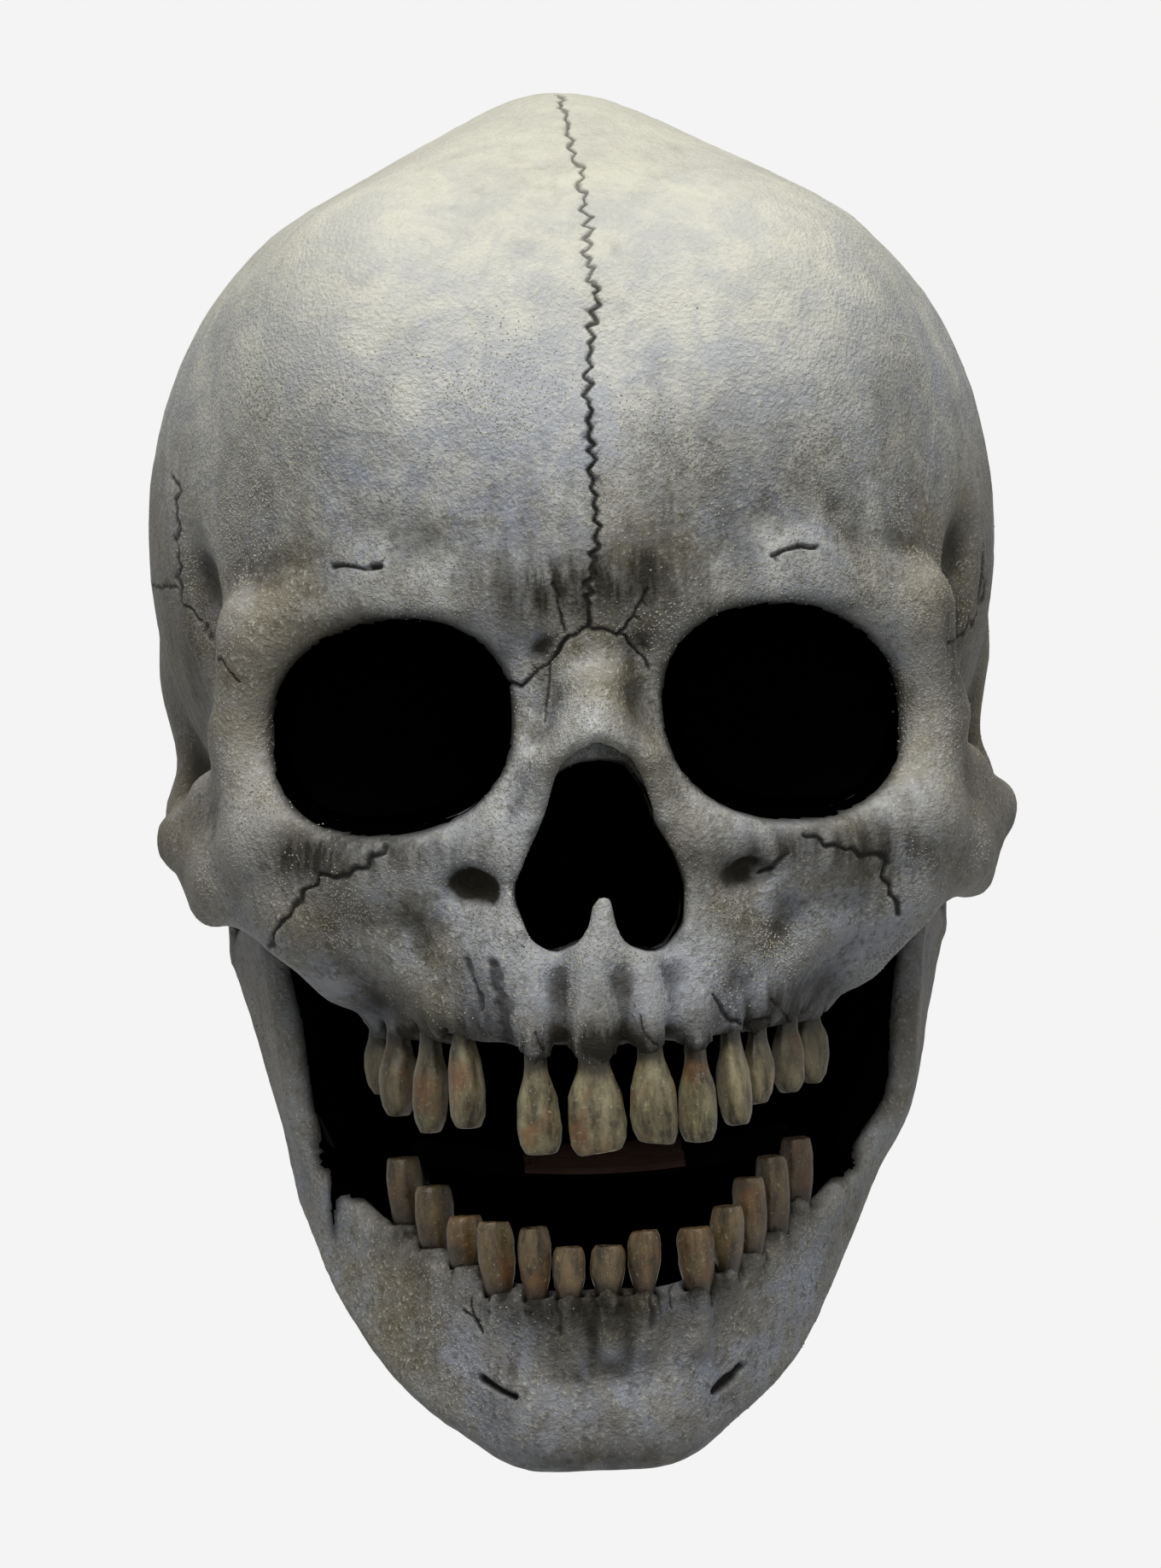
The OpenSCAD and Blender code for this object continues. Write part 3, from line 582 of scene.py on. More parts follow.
def thin_out(piece, spare, share):
    """Fewer faces where spare says so, such as inside the mask: a share of them is left."""
    have = sum(len(f.vertices) - 2 for f in piece.data.polygons)
    plain = [f for f in piece.data.polygons if all(spare[i] for i in f.vertices)]
    inside = sum(len(f.vertices) - 2 for f in plain)
    keep = have - (1 - share) * inside
    group = piece.vertex_groups.new(name="spare")
    for i in np.flatnonzero(spare):
        group.add([int(i)], 1.0, "REPLACE")
    cut = piece.modifiers.new("thin_out", "DECIMATE")
    cut.ratio = min(1.0, keep / have)
    cut.vertex_group = "spare"
    cut.vertex_group_factor = 10
    thin = bpy.data.meshes.new_from_object(piece.evaluated_get(bpy.context.evaluated_depsgraph_get()))
    piece.modifiers.remove(cut)
    piece.vertex_groups.clear()
    old, piece.data = piece.data, thin
    bpy.data.meshes.remove(old)
    thin.name = piece.name
    thin.shade_smooth()


def refine(piece, near, longest):
    """Splits the edges that are longer than longest where near says so, for crisp cracks."""
    shape = bmesh.new()
    shape.from_mesh(piece.data)
    bmesh.ops.triangulate(shape, faces=shape.faces)
    for _ in range(2):
        shape.verts.index_update()
        shape.edges.ensure_lookup_table()
        co = np.array([v.co for v in shape.verts]) / MM
        pairs = np.array([(e.verts[0].index, e.verts[1].index) for e in shape.edges])
        length = np.linalg.norm(co[pairs[:, 0]] - co[pairs[:, 1]], axis=1)
        pick = np.flatnonzero((length > longest) & near((co[pairs[:, 0]] + co[pairs[:, 1]]) / 2))
        bmesh.ops.subdivide_edges(shape, edges=[shape.edges[i] for i in pick], cuts=1)
        bmesh.ops.triangulate(shape, faces=[f for f in shape.faces if len(f.verts) > 3])
    shape.to_mesh(piece.data)
    shape.free()
    piece.data.shade_smooth()


PLAN_Y = -100


def face_plan(p):
    """Where points fall on a plan of the face, as the camera sees it, at 1:1 for y = PLAN_Y."""
    across = p[:, 0] * math.cos(SIDE_STEP) - p[:, 1] * math.sin(SIDE_STEP)
    deep = p[:, 0] * math.sin(SIDE_STEP) + p[:, 1] * math.cos(SIDE_STEP)
    off, level = STAND_OFF / MM, EYE_LEVEL / MM
    scale = (off + PLAN_Y) / (off + deep)
    return np.stack([across * scale, level + (p[:, 2] - level) * scale], 1)


def line_gap(flat, line):
    """Distance from a broken line on the face plan."""
    best = np.full(len(flat), 1e9)
    for start, end in zip(line, line[1:]):
        start, run = np.array(start), np.array(end) - np.array(start)
        t = np.clip((flat - start) @ run / (run @ run), 0, 1)
        best = np.minimum(best, np.linalg.norm(flat - start - t[:, None] * run, axis=1))
    return best


def zigzag(line, step, swing, seed):
    """A suture's line: the same run, with teeth about a step apart that swing out to either side."""
    chance = np.random.default_rng(seed)
    out = []
    for start, end in zip(line, line[1:]):
        start, run = np.array(start), np.array(end) - np.array(start)
        length = np.hypot(*run)
        side = np.array([-run[1], run[0]]) / length
        count = max(1, round(length / step))
        for k in range(count):
            swung = chance.uniform(0.1, 1) * (1 if len(out) % 2 else -1) + chance.uniform(-0.4, 0.4)
            along = run * (k + chance.uniform(-0.25, 0.25)) / count
            out.append(tuple(start + along + side * swing * swung))
    return out + [tuple(line[-1])]


# Cracks and sutures on the face plan, as line, half width, depth and wander in mm, and how black
# the paint rubbed into it is. The long suture runs from the crown to the root of the nose.
SUTURE = [
    (0.8, 173), (3.6, 161.7), (4.9, 155.9), (5.3, 150.2), (5.4, 144.4), (6.1, 136.8), (7.2, 131.0),
    (7.6, 128.1), (5.9, 122.4), (5.3, 117.7), (4.6, 110.1), (5.0, 104.3), (5.0, 96.7), (4.5, 87.2),
    (5.3, 79.5), (5.4, 73.8), (3.8, 67.2), (3.0, 60.5), (2.7, 53.8)]
SKULL_CRACKS = [
    (zigzag(SUTURE[:7], 1.5, 1.5, 1), 0.52, 0.5, 0.5, 0.6),
    (zigzag(SUTURE[6:12], 1.7, 1.5, 2), 0.58, 0.8, 0.5, 0.85),
    (zigzag(SUTURE[11:], 1.9, 1.0, 3), 0.62, 0.9, 0.5, 1),
    ([(-4.5, 63.7), (-3.8, 57.9), (-3.0, 53.1)], 0.4, 0.7, 0.8, 0.9),
    ([(15.9, 62.3), (14.0, 59.1), (11.4, 55.4), (9.3, 51.7)], 0.4, 0.7, 0.8, 0.9),
    ([(2.7, 53.8), (-2.1, 52.1), (-6.1, 46.6), (-13.1, 41.1), (-17.8, 42.2)], 0.45, 0.7, 0.8, 1),
    ([(2.7, 53.8), (11.2, 51.6), (15.7, 44.7)], 0.4, 0.6, 0.8, 0.9),
    ([(-6.1, 46.6), (-7.5, 40), (-7.8, 33)], 0.3, 0.4, 0.6, 0.7),
    ([(-54.0, 69.7), (-51.0, 69.9), (-47, 69.0), (-44.5, 69.3)], 0.55, 1.0, 0.4, 0.7),
    ([(-45.2, 69.3), (-43.6, 69.6)], 0.85, 1.6, 0.1, 1),
    ([(44.3, 68.5), (47, 69.4), (50, 70.2), (54.3, 69.7)], 0.55, 1.2, 0.4, 0.8),
    (zigzag([(-44.0, 7.0), (-48.9, 3.4), (-54.8, 0.8), (-59.5, 1.0), (-65.5, -5.5), (-68.6, -10.1),
             (-71.0, -14.4)], 2.2, 0.8, 4), 0.65, 0.8, 0.6, 0.95),
    (zigzag([(49.5, 6.1), (56.0, 2.0), (61.7, 1.2), (66.4, 0.1), (67.5, -7.0), (69.7, -13.8)],
            2.2, 0.7, 5), 0.6, 0.8, 0.6, 0.95),
    ([(37.7, -2.0), (41.6, -1.2), (45.5, 1.5)], 0.5, 0.6, 0.8, 0.7),
    ([(-80.3, 49.7), (-77.7, 46.6), (-75.3, 44.7)], 0.4, 0.6, 0.6, 0.8),
    (zigzag([(-88.4, 90.9), (-88.3, 79.4), (-88.0, 66.1), (-84.9, 59.3), (-81.2, 55.3)],
            2.2, 0.7, 6), 0.4, 0.6, 0.6, 0.8),
    ([(-95.5, 67.3), (-91.3, 66.2), (-88.0, 66.1)], 0.45, 0.6, 0.8, 0.9),
    ([(91.2, 68.4), (91.3, 62.7), (90.7, 57.0), (87.6, 50.4), (83.6, 47.7)], 0.45, 0.6, 1.0, 0.8),
    ([(28.0, -29.3), (30.1, -34.1), (33.5, -36.2), (39.3, -34.5)], 0.4, 0.6, 0.8, 0.9),
    ([(33.5, -36.2), (36.2, -39.2)], 0.35, 0.5, 0.5, 0.9),
    ([(40.4, -30.7), (44.0, -35.7)], 0.35, 0.5, 0.5, 0.8),
    ([(-22.3, -20.5), (-21, -26), (-19.8, -32.1), (-19.2, -39)], 1.5, 0.9, 1.2, 0.7),
    ([(-27.9, -20), (-25.5, -25), (-25, -30)], 1.1, 0.6, 1.0, 0.55),
    ([(10.5, -33.5), (11.2, -37), (14, -40.5)], 0.4, 0.5, 0.6, 0.8),
    ([(-12.5, -36), (-10.8, -40)], 0.4, 0.5, 0.6, 0.8)]


def dots(a, b):
    """The dot product of each row of a with the same row of b."""
    return np.einsum("ij,ij->i", a, b)


def crack_bed(p, way, lines):
    """How deep a vertex lies in a crack, from 0 to 1, and the cut there in mm, where the camera sees it."""
    view = p - np.round(np.array(CAMERA_AT) / MM, 1)
    facing = -dots(way, view) / np.linalg.norm(view, axis=1)
    wander = np.stack([lumps(p, 5, seed) + 0.7 * lumps(p, 2.2, seed + 1) for seed in (3, 5)], 1)
    flat = face_plan(p)
    bed, cut = np.zeros(len(p)), np.zeros(len(p))
    for line, half, depth, stray, ink in lines:
        low, high = np.min(line, 0) - 5, np.max(line, 0) + 5
        near = np.flatnonzero((facing > 0.05) & np.all((flat > low) & (flat < high), axis=1))
        gap = line_gap(flat[near] + stray * wander[near], line)
        rough = half * (1 + 0.5 * lumps(p[near], 4, 7))
        depth_here = 1 - ease(gap, 0.3 * rough, 1.25 * rough)
        bed[near] = np.maximum(bed[near], ink * depth_here)
        cut[near] = np.maximum(cut[near], depth * depth_here)
    return bed, cut


OUTER_SKIN = 1.8


def near_cracks(lines, margin):
    """A test of which points of the outer skin lie within a margin of a crack."""
    def near(p):
        flat = face_plan(p)
        outer = case_gap(folded(p)) > -OUTER_SKIN
        hit = np.zeros(len(p), bool)
        for line, half, _, stray, _ in lines:
            reach = half + stray + margin
            low, high = np.min(line, 0) - reach, np.max(line, 0) + reach
            inside = np.all((flat > low) & (flat < high), axis=1)
            close = np.flatnonzero(inside & outer & (p[:, 1] < 30) & ~hit)
            hit[close] = line_gap(flat[close], line) < reach
        return hit
    return near


# The lining and the plain back of the head keep few faces, and the cracks get more
spots = points_of(skull)
outward = dots(normals_of(skull), spots - HEAD_MIDDLE)
on_lining = np.abs(case_gap(folded(spots)) + WALL) < 1.1
on_lining |= np.abs(room_gap(folded(spots))) < 1.2
plain_back = (spots[:, 1] > 5) & ((np.abs(spots[:, 0] - 4) > 14) | (spots[:, 1] > 60))
thin_out(skull, np.where(outward < 0, on_lining, (outward > 0) & plain_back), 0.13)
refine(skull, near_cracks(SKULL_CRACKS, 0.4), 0.6)

# What lies inside the mask is black: the lining, the room behind the face, the eye cups and the nose. It is
# black paint and painted shade for the inside of the mask
spots, way = points_of(skull), normals_of(skull)
skull_q = folded(spots)
in_head = ease(-case_gap(skull_q), 1.6, 2.6) * (dots(way, spots - HEAD_MIDDLE) < 0)
in_room = ease(-room_gap(skull_q), -2.0, -0.5) * ease(way[:, 1], -0.45, -0.15)
eye = eye_oval(spots)
behind_rim = spots[:, 1] - 0.57 * (skull_q[:, 0] - 21)
eye_deep = np.maximum(ease(behind_rim, -95, -92) * (eye < 5), ease(behind_rim, -91, -88) * (eye < 10))
in_eye = np.maximum(ease(-eye, -1.9, -0.3), eye_deep) * (spots[:, 1] < -40)
pear = outline_gap(spots[:, 0], spots[:, 2], NOSE_OUTLINE)
in_nose = ease(spots[:, 1], -108, -101) * ease(-pear, -1.2, 0.1) * (spots[:, 1] < -55)
hollow = np.clip(np.maximum.reduce([in_head, in_room, in_eye, in_nose]), 0, 1)

# The skin is lumpy, as clay is, and the cracks are cut into it
bed, cut = crack_bed(spots, way, SKULL_CRACKS)
skin = 0.35 * lumps(spots, 17, 11) + 0.16 * lumps(spots, 6, 12) + 0.09 * lumps(spots, 2.4, 13)
place(skull, spots + way * ((skin * (1 - hollow)) - cut)[:, None])


def dents(piece):
    """Where dirt and painted shade settle, and where ridges stand out for their painted highlight: how far
    each vertex lies below the skin round it, close by and further off.
    """
    p, n, pairs = points_of(piece), normals_of(piece), edges_of(piece)
    close, wide = relax(p, pairs, 8), relax(p, pairs, 60)
    return dots(close - p, n), dots(wide - p, n)


def dirt_and_shade_of(close, wide):
    """The dirt and painted shade left in dents, from 0 to about 1."""
    return np.clip(close / 0.3, 0, 1) * 0.5 + np.clip(wide / 1.25, 0, 1) * 0.45


def shut_in(field, p, n):
    """How far a point of a form is shut in by the form round it: 0 in the open, 1 in a crevice."""
    shut = np.zeros(len(p))
    for far in (3.0, 7.0, 14.0):
        shut += np.clip(1 - field((p + n * far).astype("f")) / far, 0, 1) / 3
    return shut


def painted_shade_clouds(flat, blobs):
    """Soft clouds of painted shade on the face plan, as middle, half width, half height and strength."""
    cloud = np.zeros(len(flat))
    for u, v, half_u, half_v, strength in blobs:
        off = ((flat[:, 0] - u) / half_u) ** 2 + ((flat[:, 1] - v) / half_v) ** 2
        cloud = 1 - (1 - cloud) * (1 - strength * np.exp(-off))
    return cloud


def neck_shade(p, teeth, front, gum_line):
    """Painted shade round the necks of a row of teeth, where they meet the gum."""
    neck_dark = np.zeros(len(p))
    for x, dy, _, gum, w, _, _ in teeth:
        off = (p - np.array([x, front + dy - 2, gum_line + gum])) / np.array([w * 0.8, 7, 6])
        neck_dark = np.maximum(neck_dark, np.exp(-(off ** 2).sum(1)))
    return neck_dark


# Painted shade, as soft clouds on the face plan: round the suture's foot and brows, the eye rims, nose, gums
# and temples
SKULL_SHADE = [
    (-4, 63, 18, 9, 0.95), (16, 65, 13, 9, 0.88), (-40, 70, 26, 8, 0.35), (46, 68, 24, 8, 0.4),
    (-20, 84, 24, 10, 0.25), (24, 86, 22, 10, 0.25), (-44, 5, 22, 6, 0.75), (47, 3, 22, 6, 0.75),
    (-63, 5, 11, 8, 0.85), (68, 0, 11, 9, 0.75), (-96, 55, 9, 40, 0.4), (96, 50, 9, 40, 0.45),
    (-17, 42, 5, 12, 0.5), (19, 42, 5, 12, 0.5), (-6.5, 38, 2.2, 11, 0.65), (11.5, 38, 2.2, 11, 0.65),
    (-42, 57, 20, 2.6, 0.6), (46.7, 56.5, 20, 2.6, 0.6), (-23, 0, 5, 12, 0.35), (24, -2, 5, 12, 0.35),
    (-25, -30, 9, 10, 0.45), (0, -40, 24, 7, 0.95), (-38, -37, 14, 7, 0.95), (40, -36, 14, 7, 0.95),
    (33, -34, 9, 7, 0.4), (-28.2, -2.2, 3.2, 2.2, 0.9), (32.6, -1.4, 3.2, 2.2, 0.9), (0, -26, 16, 8, 0.35),
    (-86, 48, 3.5, 20, 0.6), (84.5, 44, 3.5, 20, 0.65), (-97, 5, 7, 14, 0.35), (97, 0, 7, 16, 0.4),
    (-48, -31, 9, 6, 0.55), (48, -30, 9, 6, 0.55)]
close, wide = dents(skull)
pore_dirt_and_shade = dirt_and_shade_of(close, wide)
open_skin = np.flatnonzero((hollow < 0.9) & (spots[:, 1] < 60))
# Painted shade in crevices, where the form round a point shuts it in
pore_dirt_and_shade[open_skin] += 0.9 * ease(shut_in(skull_field, spots[open_skin], way[open_skin]), 0.15, 0.85)
shade = painted_shade_clouds(face_plan(spots), SKULL_SHADE) * ease(-way[:, 1], -0.35, 0.05)
shade = np.maximum(shade, 0.95 * neck_shade(spots, UPPER_TEETH, UPPER_FRONT, UPPER_GUM))
sandy = ease(lumps(spots, 26, 15) + 0.6 * lumps(spots, 9, 16), -0.2, 0.7)
sandy *= ease(-spots[:, 2], -135, -85) * ease(-way[:, 1], 0.1, 0.5)
sandy *= (1 - hollow) * (bed < 0.1) * (pore_dirt_and_shade < 0.5) * np.clip(1 - 1.2 * shade, 0.12, 1)
mark(skull, "crack", bed)
mark(skull, "shade", shade)
mark(skull, "hollow", hollow)
mark(skull, "dirt_and_shade", pore_dirt_and_shade)
# Painted highlight on the ridges
mark(skull, "ridge_highlight", np.clip(-wide / 1.4, 0, 1))
mark(skull, "grit", sandy)


def new_paint(name):
    """A material with an empty tree, and the Object coordinates that its patterns follow."""
    paint = bpy.data.materials.new(name)
    paint.use_nodes = True
    paint.node_tree.nodes.clear()
    return paint, paint.node_tree, node(paint.node_tree, "ShaderNodeTexCoord").outputs["Object"]


def painted_bone(name, high, mid, low, dirt_and_shade, gloss):
    """Cast latex under layers of sponged acrylic: pale bone, a cold grey wash, olive and brown
    blotches, grit in the last coat, and black rubbed into cracks and the inside, which is also painted
    shade for the inside. Ridges get a painted highlight, and dents, crevices and the shade clouds get
    dirt and painted shade. It gives the eye a dull, chalky skin, painted paler on top and darker
    below, partly as painted light and shade."""
    paint, tree, at = new_paint(name)
    axes = node(tree, "ShaderNodeSeparateXYZ", {0: at}).outputs
    rise = axes["Z"]
    aside = node(tree, "ShaderNodeMath", {0: axes["X"]}, operation="ABSOLUTE").outputs[0]
    tall = node(tree, "ShaderNodeMapping", {"Vector": at, "Scale": (1.0, 1.0, 0.16)}).outputs[0]
    drawn = {}
    # Each pattern's marks, as their size in mm, detail, roughness and how far they are bent
    for pattern, lie, grain, detail, rough, bent in (
            ("blotch", at, 47.62, 7.0, 0.66, 0.0), ("wash", at, 16.667, 9.0, 0.72, 0.5),
            ("spot", at, 5.0, 7.0, 0.74, 0.0), ("speck", at, 1.923, 4.0, 0.65, 0.0),
            ("sand", at, 1.0, 3.0, 0.6, 0.0), ("run", tall, 4.1667, 5.0, 0.6, 0.0)):
        drawn[pattern] = node(tree, "ShaderNodeTexNoise", {
            "Vector": lie, "Scale": 1 / (grain * MM), "Detail": detail, "Roughness": rough,
            "Distortion": bent}).outputs[0]
    for layer in ("ridge_highlight", "dirt_and_shade", "shade", "crack", "hollow"):
        drawn[layer] = node(tree, "ShaderNodeAttribute", attribute_name=layer).outputs["Fac"]
    # Each coat in turn, as its colour and what it thins out by: a pattern, its start and end, and the
    # share of paint at each. Heights are in metres.
    # The blotches, spots, specks and side browns thicken towards the bottom, so the paint grows darker there
    thicker_below = (rise, 0.115, 0.06, 0.14, 1.0)
    coats = [
        # Partly painted light and shade: the high coat makes the crown paler and the low coat darkens the
        # bottom, where less of the light from above falls
        (high, [(rise, 0.07, 0.16, 0.0, 1.0)]),
        (low, [(rise, 0.06, -0.05, 0.0, 1.0)]),
        ("#a2a7b3", [(drawn["wash"], 0.42, 0.58, 0.0, 1.0), (rise, 0.17, 0.09, 0.15, 0.9)]),
        ("#777058", [(drawn["blotch"], 0.45, 0.62, 0.0, 0.9), thicker_below]),
        ("#5f5946", [(drawn["spot"], 0.48, 0.61, 0.0, 0.75), (drawn["blotch"], 0.36, 0.60, 0.0, 1.0), thicker_below]),
        ("#7b705b", [(aside, 0.066, 0.094, 0.0, 0.6), thicker_below]),
        ("#433f34", [(drawn["speck"], 0.53, 0.63, 0.0, 0.5), thicker_below]),
        ("#d6d3c5", [(drawn["sand"], 0.58, 0.66, 0.0, 0.6)]),
        # Painted highlight on the ridges, broken up by the wash
        ("#c6c4ba", [(drawn["ridge_highlight"], 0.0, 1.0, 0.0, 1.0), (drawn["wash"], 0.35, 0.65, 0.05, 0.35)]),
        # Dirt and painted shade in the dents and crevices
        ("#252219", [(drawn["dirt_and_shade"], 0.0, 2.0, 0.0, 2 * dirt_and_shade), (drawn["wash"], 0.3, 0.7, 0.75, 1.3)]),
        # Painted shade from the clouds and round the teeth, broken into upright runs
        ("#1f1c14", [(drawn["shade"], 0.0, 1.0, 0.0, 1.0), (drawn["run"], 0.36, 0.6, 0.66, 1.3)]),
        ("#100f0c", [(drawn["crack"], 0.0, 1.0, 0.0, 1.0)]),
        # Black inside the mask: black paint and painted shade
        ("#010101", [(drawn["hollow"], 0.0, 1.0, 0.0, 1.0)])]
    bone = tint(mid)
    for colour, stretches in coats:
        share = 1.0
        for source, start, end, least, most in stretches:
            thinned = node(tree, "ShaderNodeMapRange", {0: source, 1: start, 2: end, 3: least, 4: most})
            both = node(tree, "ShaderNodeMath", {0: share, 1: thinned.outputs[0]}, operation="MULTIPLY")
            share = both.outputs[0]
        bone = node(tree, "ShaderNodeMix", {0: share, 6: bone, 7: tint(colour)}, data_type="RGBA").outputs[2]
    height = node(tree, "ShaderNodeMath", {0: drawn["spot"], 1: 0.55, 2: drawn["sand"]},
                  operation="MULTIPLY_ADD")
    bump = node(tree, "ShaderNodeBump", {"Strength": 0.75, "Distance": 1.0 * MM, "Height": height.outputs[0]})
    dull = node(tree, "ShaderNodeMapRange", {0: drawn["wash"], 1: 0.3, 2: 0.7, 3: gloss, 4: gloss + 0.2})
    dull = node(tree, "ShaderNodeMath", {0: dull.outputs[0], 1: drawn["hollow"]}, operation="MAXIMUM")
    shader = node(tree, "ShaderNodeBsdfPrincipled", {
        "Base Color": bone, "Roughness": dull.outputs[0], "Specular IOR Level": 0.2,
        "Normal": bump.outputs[0]})
    node(tree, "ShaderNodeOutputMaterial", {"Surface": shader.outputs[0]})
    return paint


# Flat black latex paint, brushed over the inside: it throws no light back, so the holes look deep. Its black
# is also painted shade for the inside of the mask
flat_black = bpy.data.materials.new("flat_black_latex_paint_and_shade")
flat_black.use_nodes = True
inside_coat = flat_black.node_tree.nodes["Principled BSDF"].inputs
inside_coat["Base Color"].default_value = tint("#010101")
inside_coat["Roughness"].default_value = 1.0
inside_coat["Specular IOR Level"].default_value = 0.0


def blacked_out(piece, share):
    """Flat black on the faces whose corners all lie inside the mask."""
    mesh = piece.data
    corner, start = np.empty(len(mesh.loops), np.int32), np.empty(len(mesh.polygons), np.int32)
    mesh.loops.foreach_get("vertex_index", corner)
    mesh.polygons.foreach_get("loop_start", start)
    mesh.materials.append(flat_black)
    black = np.minimum.reduceat(share[corner], start) > 0.8
    mesh.polygons.foreach_set("material_index", black.astype(np.int32))


skull.data.materials.append(painted_bone(
    "sponged_acrylic_and_painted_shade_on_skull_latex", high="#d6d5c6", mid="#cbccca", low="#9a9ca2", dirt_and_shade=0.85, gloss=0.55))
blacked_out(skull, hollow)
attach(skull, "skull")
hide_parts("skull_shell")

# Jaw casting: the lower jaw, a separate latex casting with a thick chin and thin rami, hung from
# two ears on the hinge rivets. Tooth roots show as ridges down the front, with a nerve hole each side.
LOWER_FRONT, CHIN = -98, -134.5
# The chin hangs to the right of the middle
CHIN_SET = -5
# The wall from chin to ear, as low edge, top edge, how far it follows the chin, and half its thickness
JAW = [
    ((0, -92, -129), (0, -102, -98.5), 1, 5.5), ((17, -91, -128), (15, -99, -98.5), 1, 5.5),
    ((28, -84, -122), (29.5, -89, -93.5), 1, 5.5), ((41.5, -69, -112), (42.5, -72, -87.5), 1, 5.5),
    ((55.5, -50, -95), (53, -57, -80.5), 1, 3.5), ((65, -28, -76), (64, -39, -68.5), 0.7, 3.5),
    ((72, -10, -61), (70, -38, -56), 0, 3.5), ((77.5, -3, -40), (72, -39, -38), 0, 3.5),
    ((83.5, 4, -18), (75, -37, -18), 0, 3.5)]
# Lower teeth, as x, set-back, heights of tip and gum over the chin, width, depth and turn in degrees
LOWER_TEETH = [
    (-46.2, 35, 69, 54.5, 8, 7.5, 64), (-40, 25, 63, 48.5, 8.6, 7.5, 54),
    (-33.5, 14.5, 56.5, 45.5, 8, 7, 46), (-26, 5.5, 55.7, 39.5, 7.8, 6.6, 34),
    (-18, -0.2, 54.5, 39.5, 6.8, 6, 22), (-10.6, -3.2, 50.1, 39.5, 7, 5.4, 11),
    (-1.9, -4.4, 50.1, 40.5, 7.2, 5.4, 0), (6.2, -3.6, 53, 40, 6.8, 5.6, -8),
    (18.4, 0.4, 52.9, 39.5, 7.6, 6.2, -24), (25.6, 6.4, 57, 43.5, 6.8, 6.6, -36),
    (31.4, 14, 62.5, 46.5, 6.8, 6.8, -46), (37.6, 23, 66.5, 50.5, 6.6, 7, -54),
    (43.6, 32.5, 69.8, 56.5, 6.6, 7, -62)]
EAR_X, EAR_HALF, EAR_HOLE = 83.5, 3.5, 3.45
JAW_BOX = (-98, -118, -146), (98, 26, 18)
JAW_STEP = 1.15
BAND_TILT = math.radians(10)
BAND_Y, BAND_Z = -40, -65


def smooth_run(rows, share):
    """Rows of numbers at even steps, drawn out to share times as many on a smooth curve."""
    rows = np.array(rows, float)
    ends = np.concatenate([[2 * rows[0] - rows[1]], rows, [2 * rows[-1] - rows[-2]]])
    out = []
    for i in range(1, len(ends) - 2):
        a, b, c, d = ends[i - 1:i + 3]
        for t in np.arange(share) / share:
            bend, twist = 2 * a - 5 * b + 4 * c - d, 3 * b - a - 3 * c + d
            out.append(0.5 * (2 * b + (c - a) * t + bend * t * t + twist * t ** 3))
    return np.array(out + [rows[-1]])


def jaw_rows(side):
    """The wall's rows on one side: low edge, top edge and a half thickness at each, from chin to ear."""
    rows = []
    for low, top, follow, half in JAW:
        heavy = half > 5
        shift = CHIN_SET * follow
        low_edge = [side * low[0] + shift, *low[1:]]
        top_edge = [side * top[0] + 0.4 * shift, top[1] + 3.5 * heavy, top[2]]
        rows.append(low_edge + top_edge + [half, half - 0.7 * heavy])
    return rows


whole = smooth_run(jaw_rows(-1)[::-1] + jaw_rows(1)[1:], 4)
JAW_WALL = []
for a, b in zip(whole, whole[1:]):
    low_a, top_a, low_b, top_b = (a[:3], a[6]), (a[3:6], a[7]), (b[:3], b[6]), (b[3:6], b[7])
    JAW_WALL += [(low_a, top_a, low_b), (top_a, low_b, top_b)]
for side in (1, -1):
    under_ear = (EAR_X, 4, -18), (75, -37, -18), (76, -31, -7)
    JAW_WALL.append(tuple(((side * x, y, z), EAR_HALF) for x, y, z in under_ear))


def band_frame(p):
    """Points as seen by the chin band, which is tipped forward, with its middle at the origin."""
    y, z = p[:, 1] - BAND_Y, p[:, 2] - BAND_Z
    c, s = math.cos(BAND_TILT), math.sin(BAND_TILT)
    return np.stack([p[:, 0], y * c + z * s, z * c - y * s], 1)


def lug_gap(p):
    """The two lugs inside the jaw that the chin band is riveted to."""
    x, y, z = band_frame(p).T
    sides = [np.maximum(lo - x, x - hi) for lo, hi in ((45, 55), (-63, -45))]
    return np.maximum.reduce([np.minimum(*sides), np.abs(y) - 12, np.abs(z + 8) - 8])


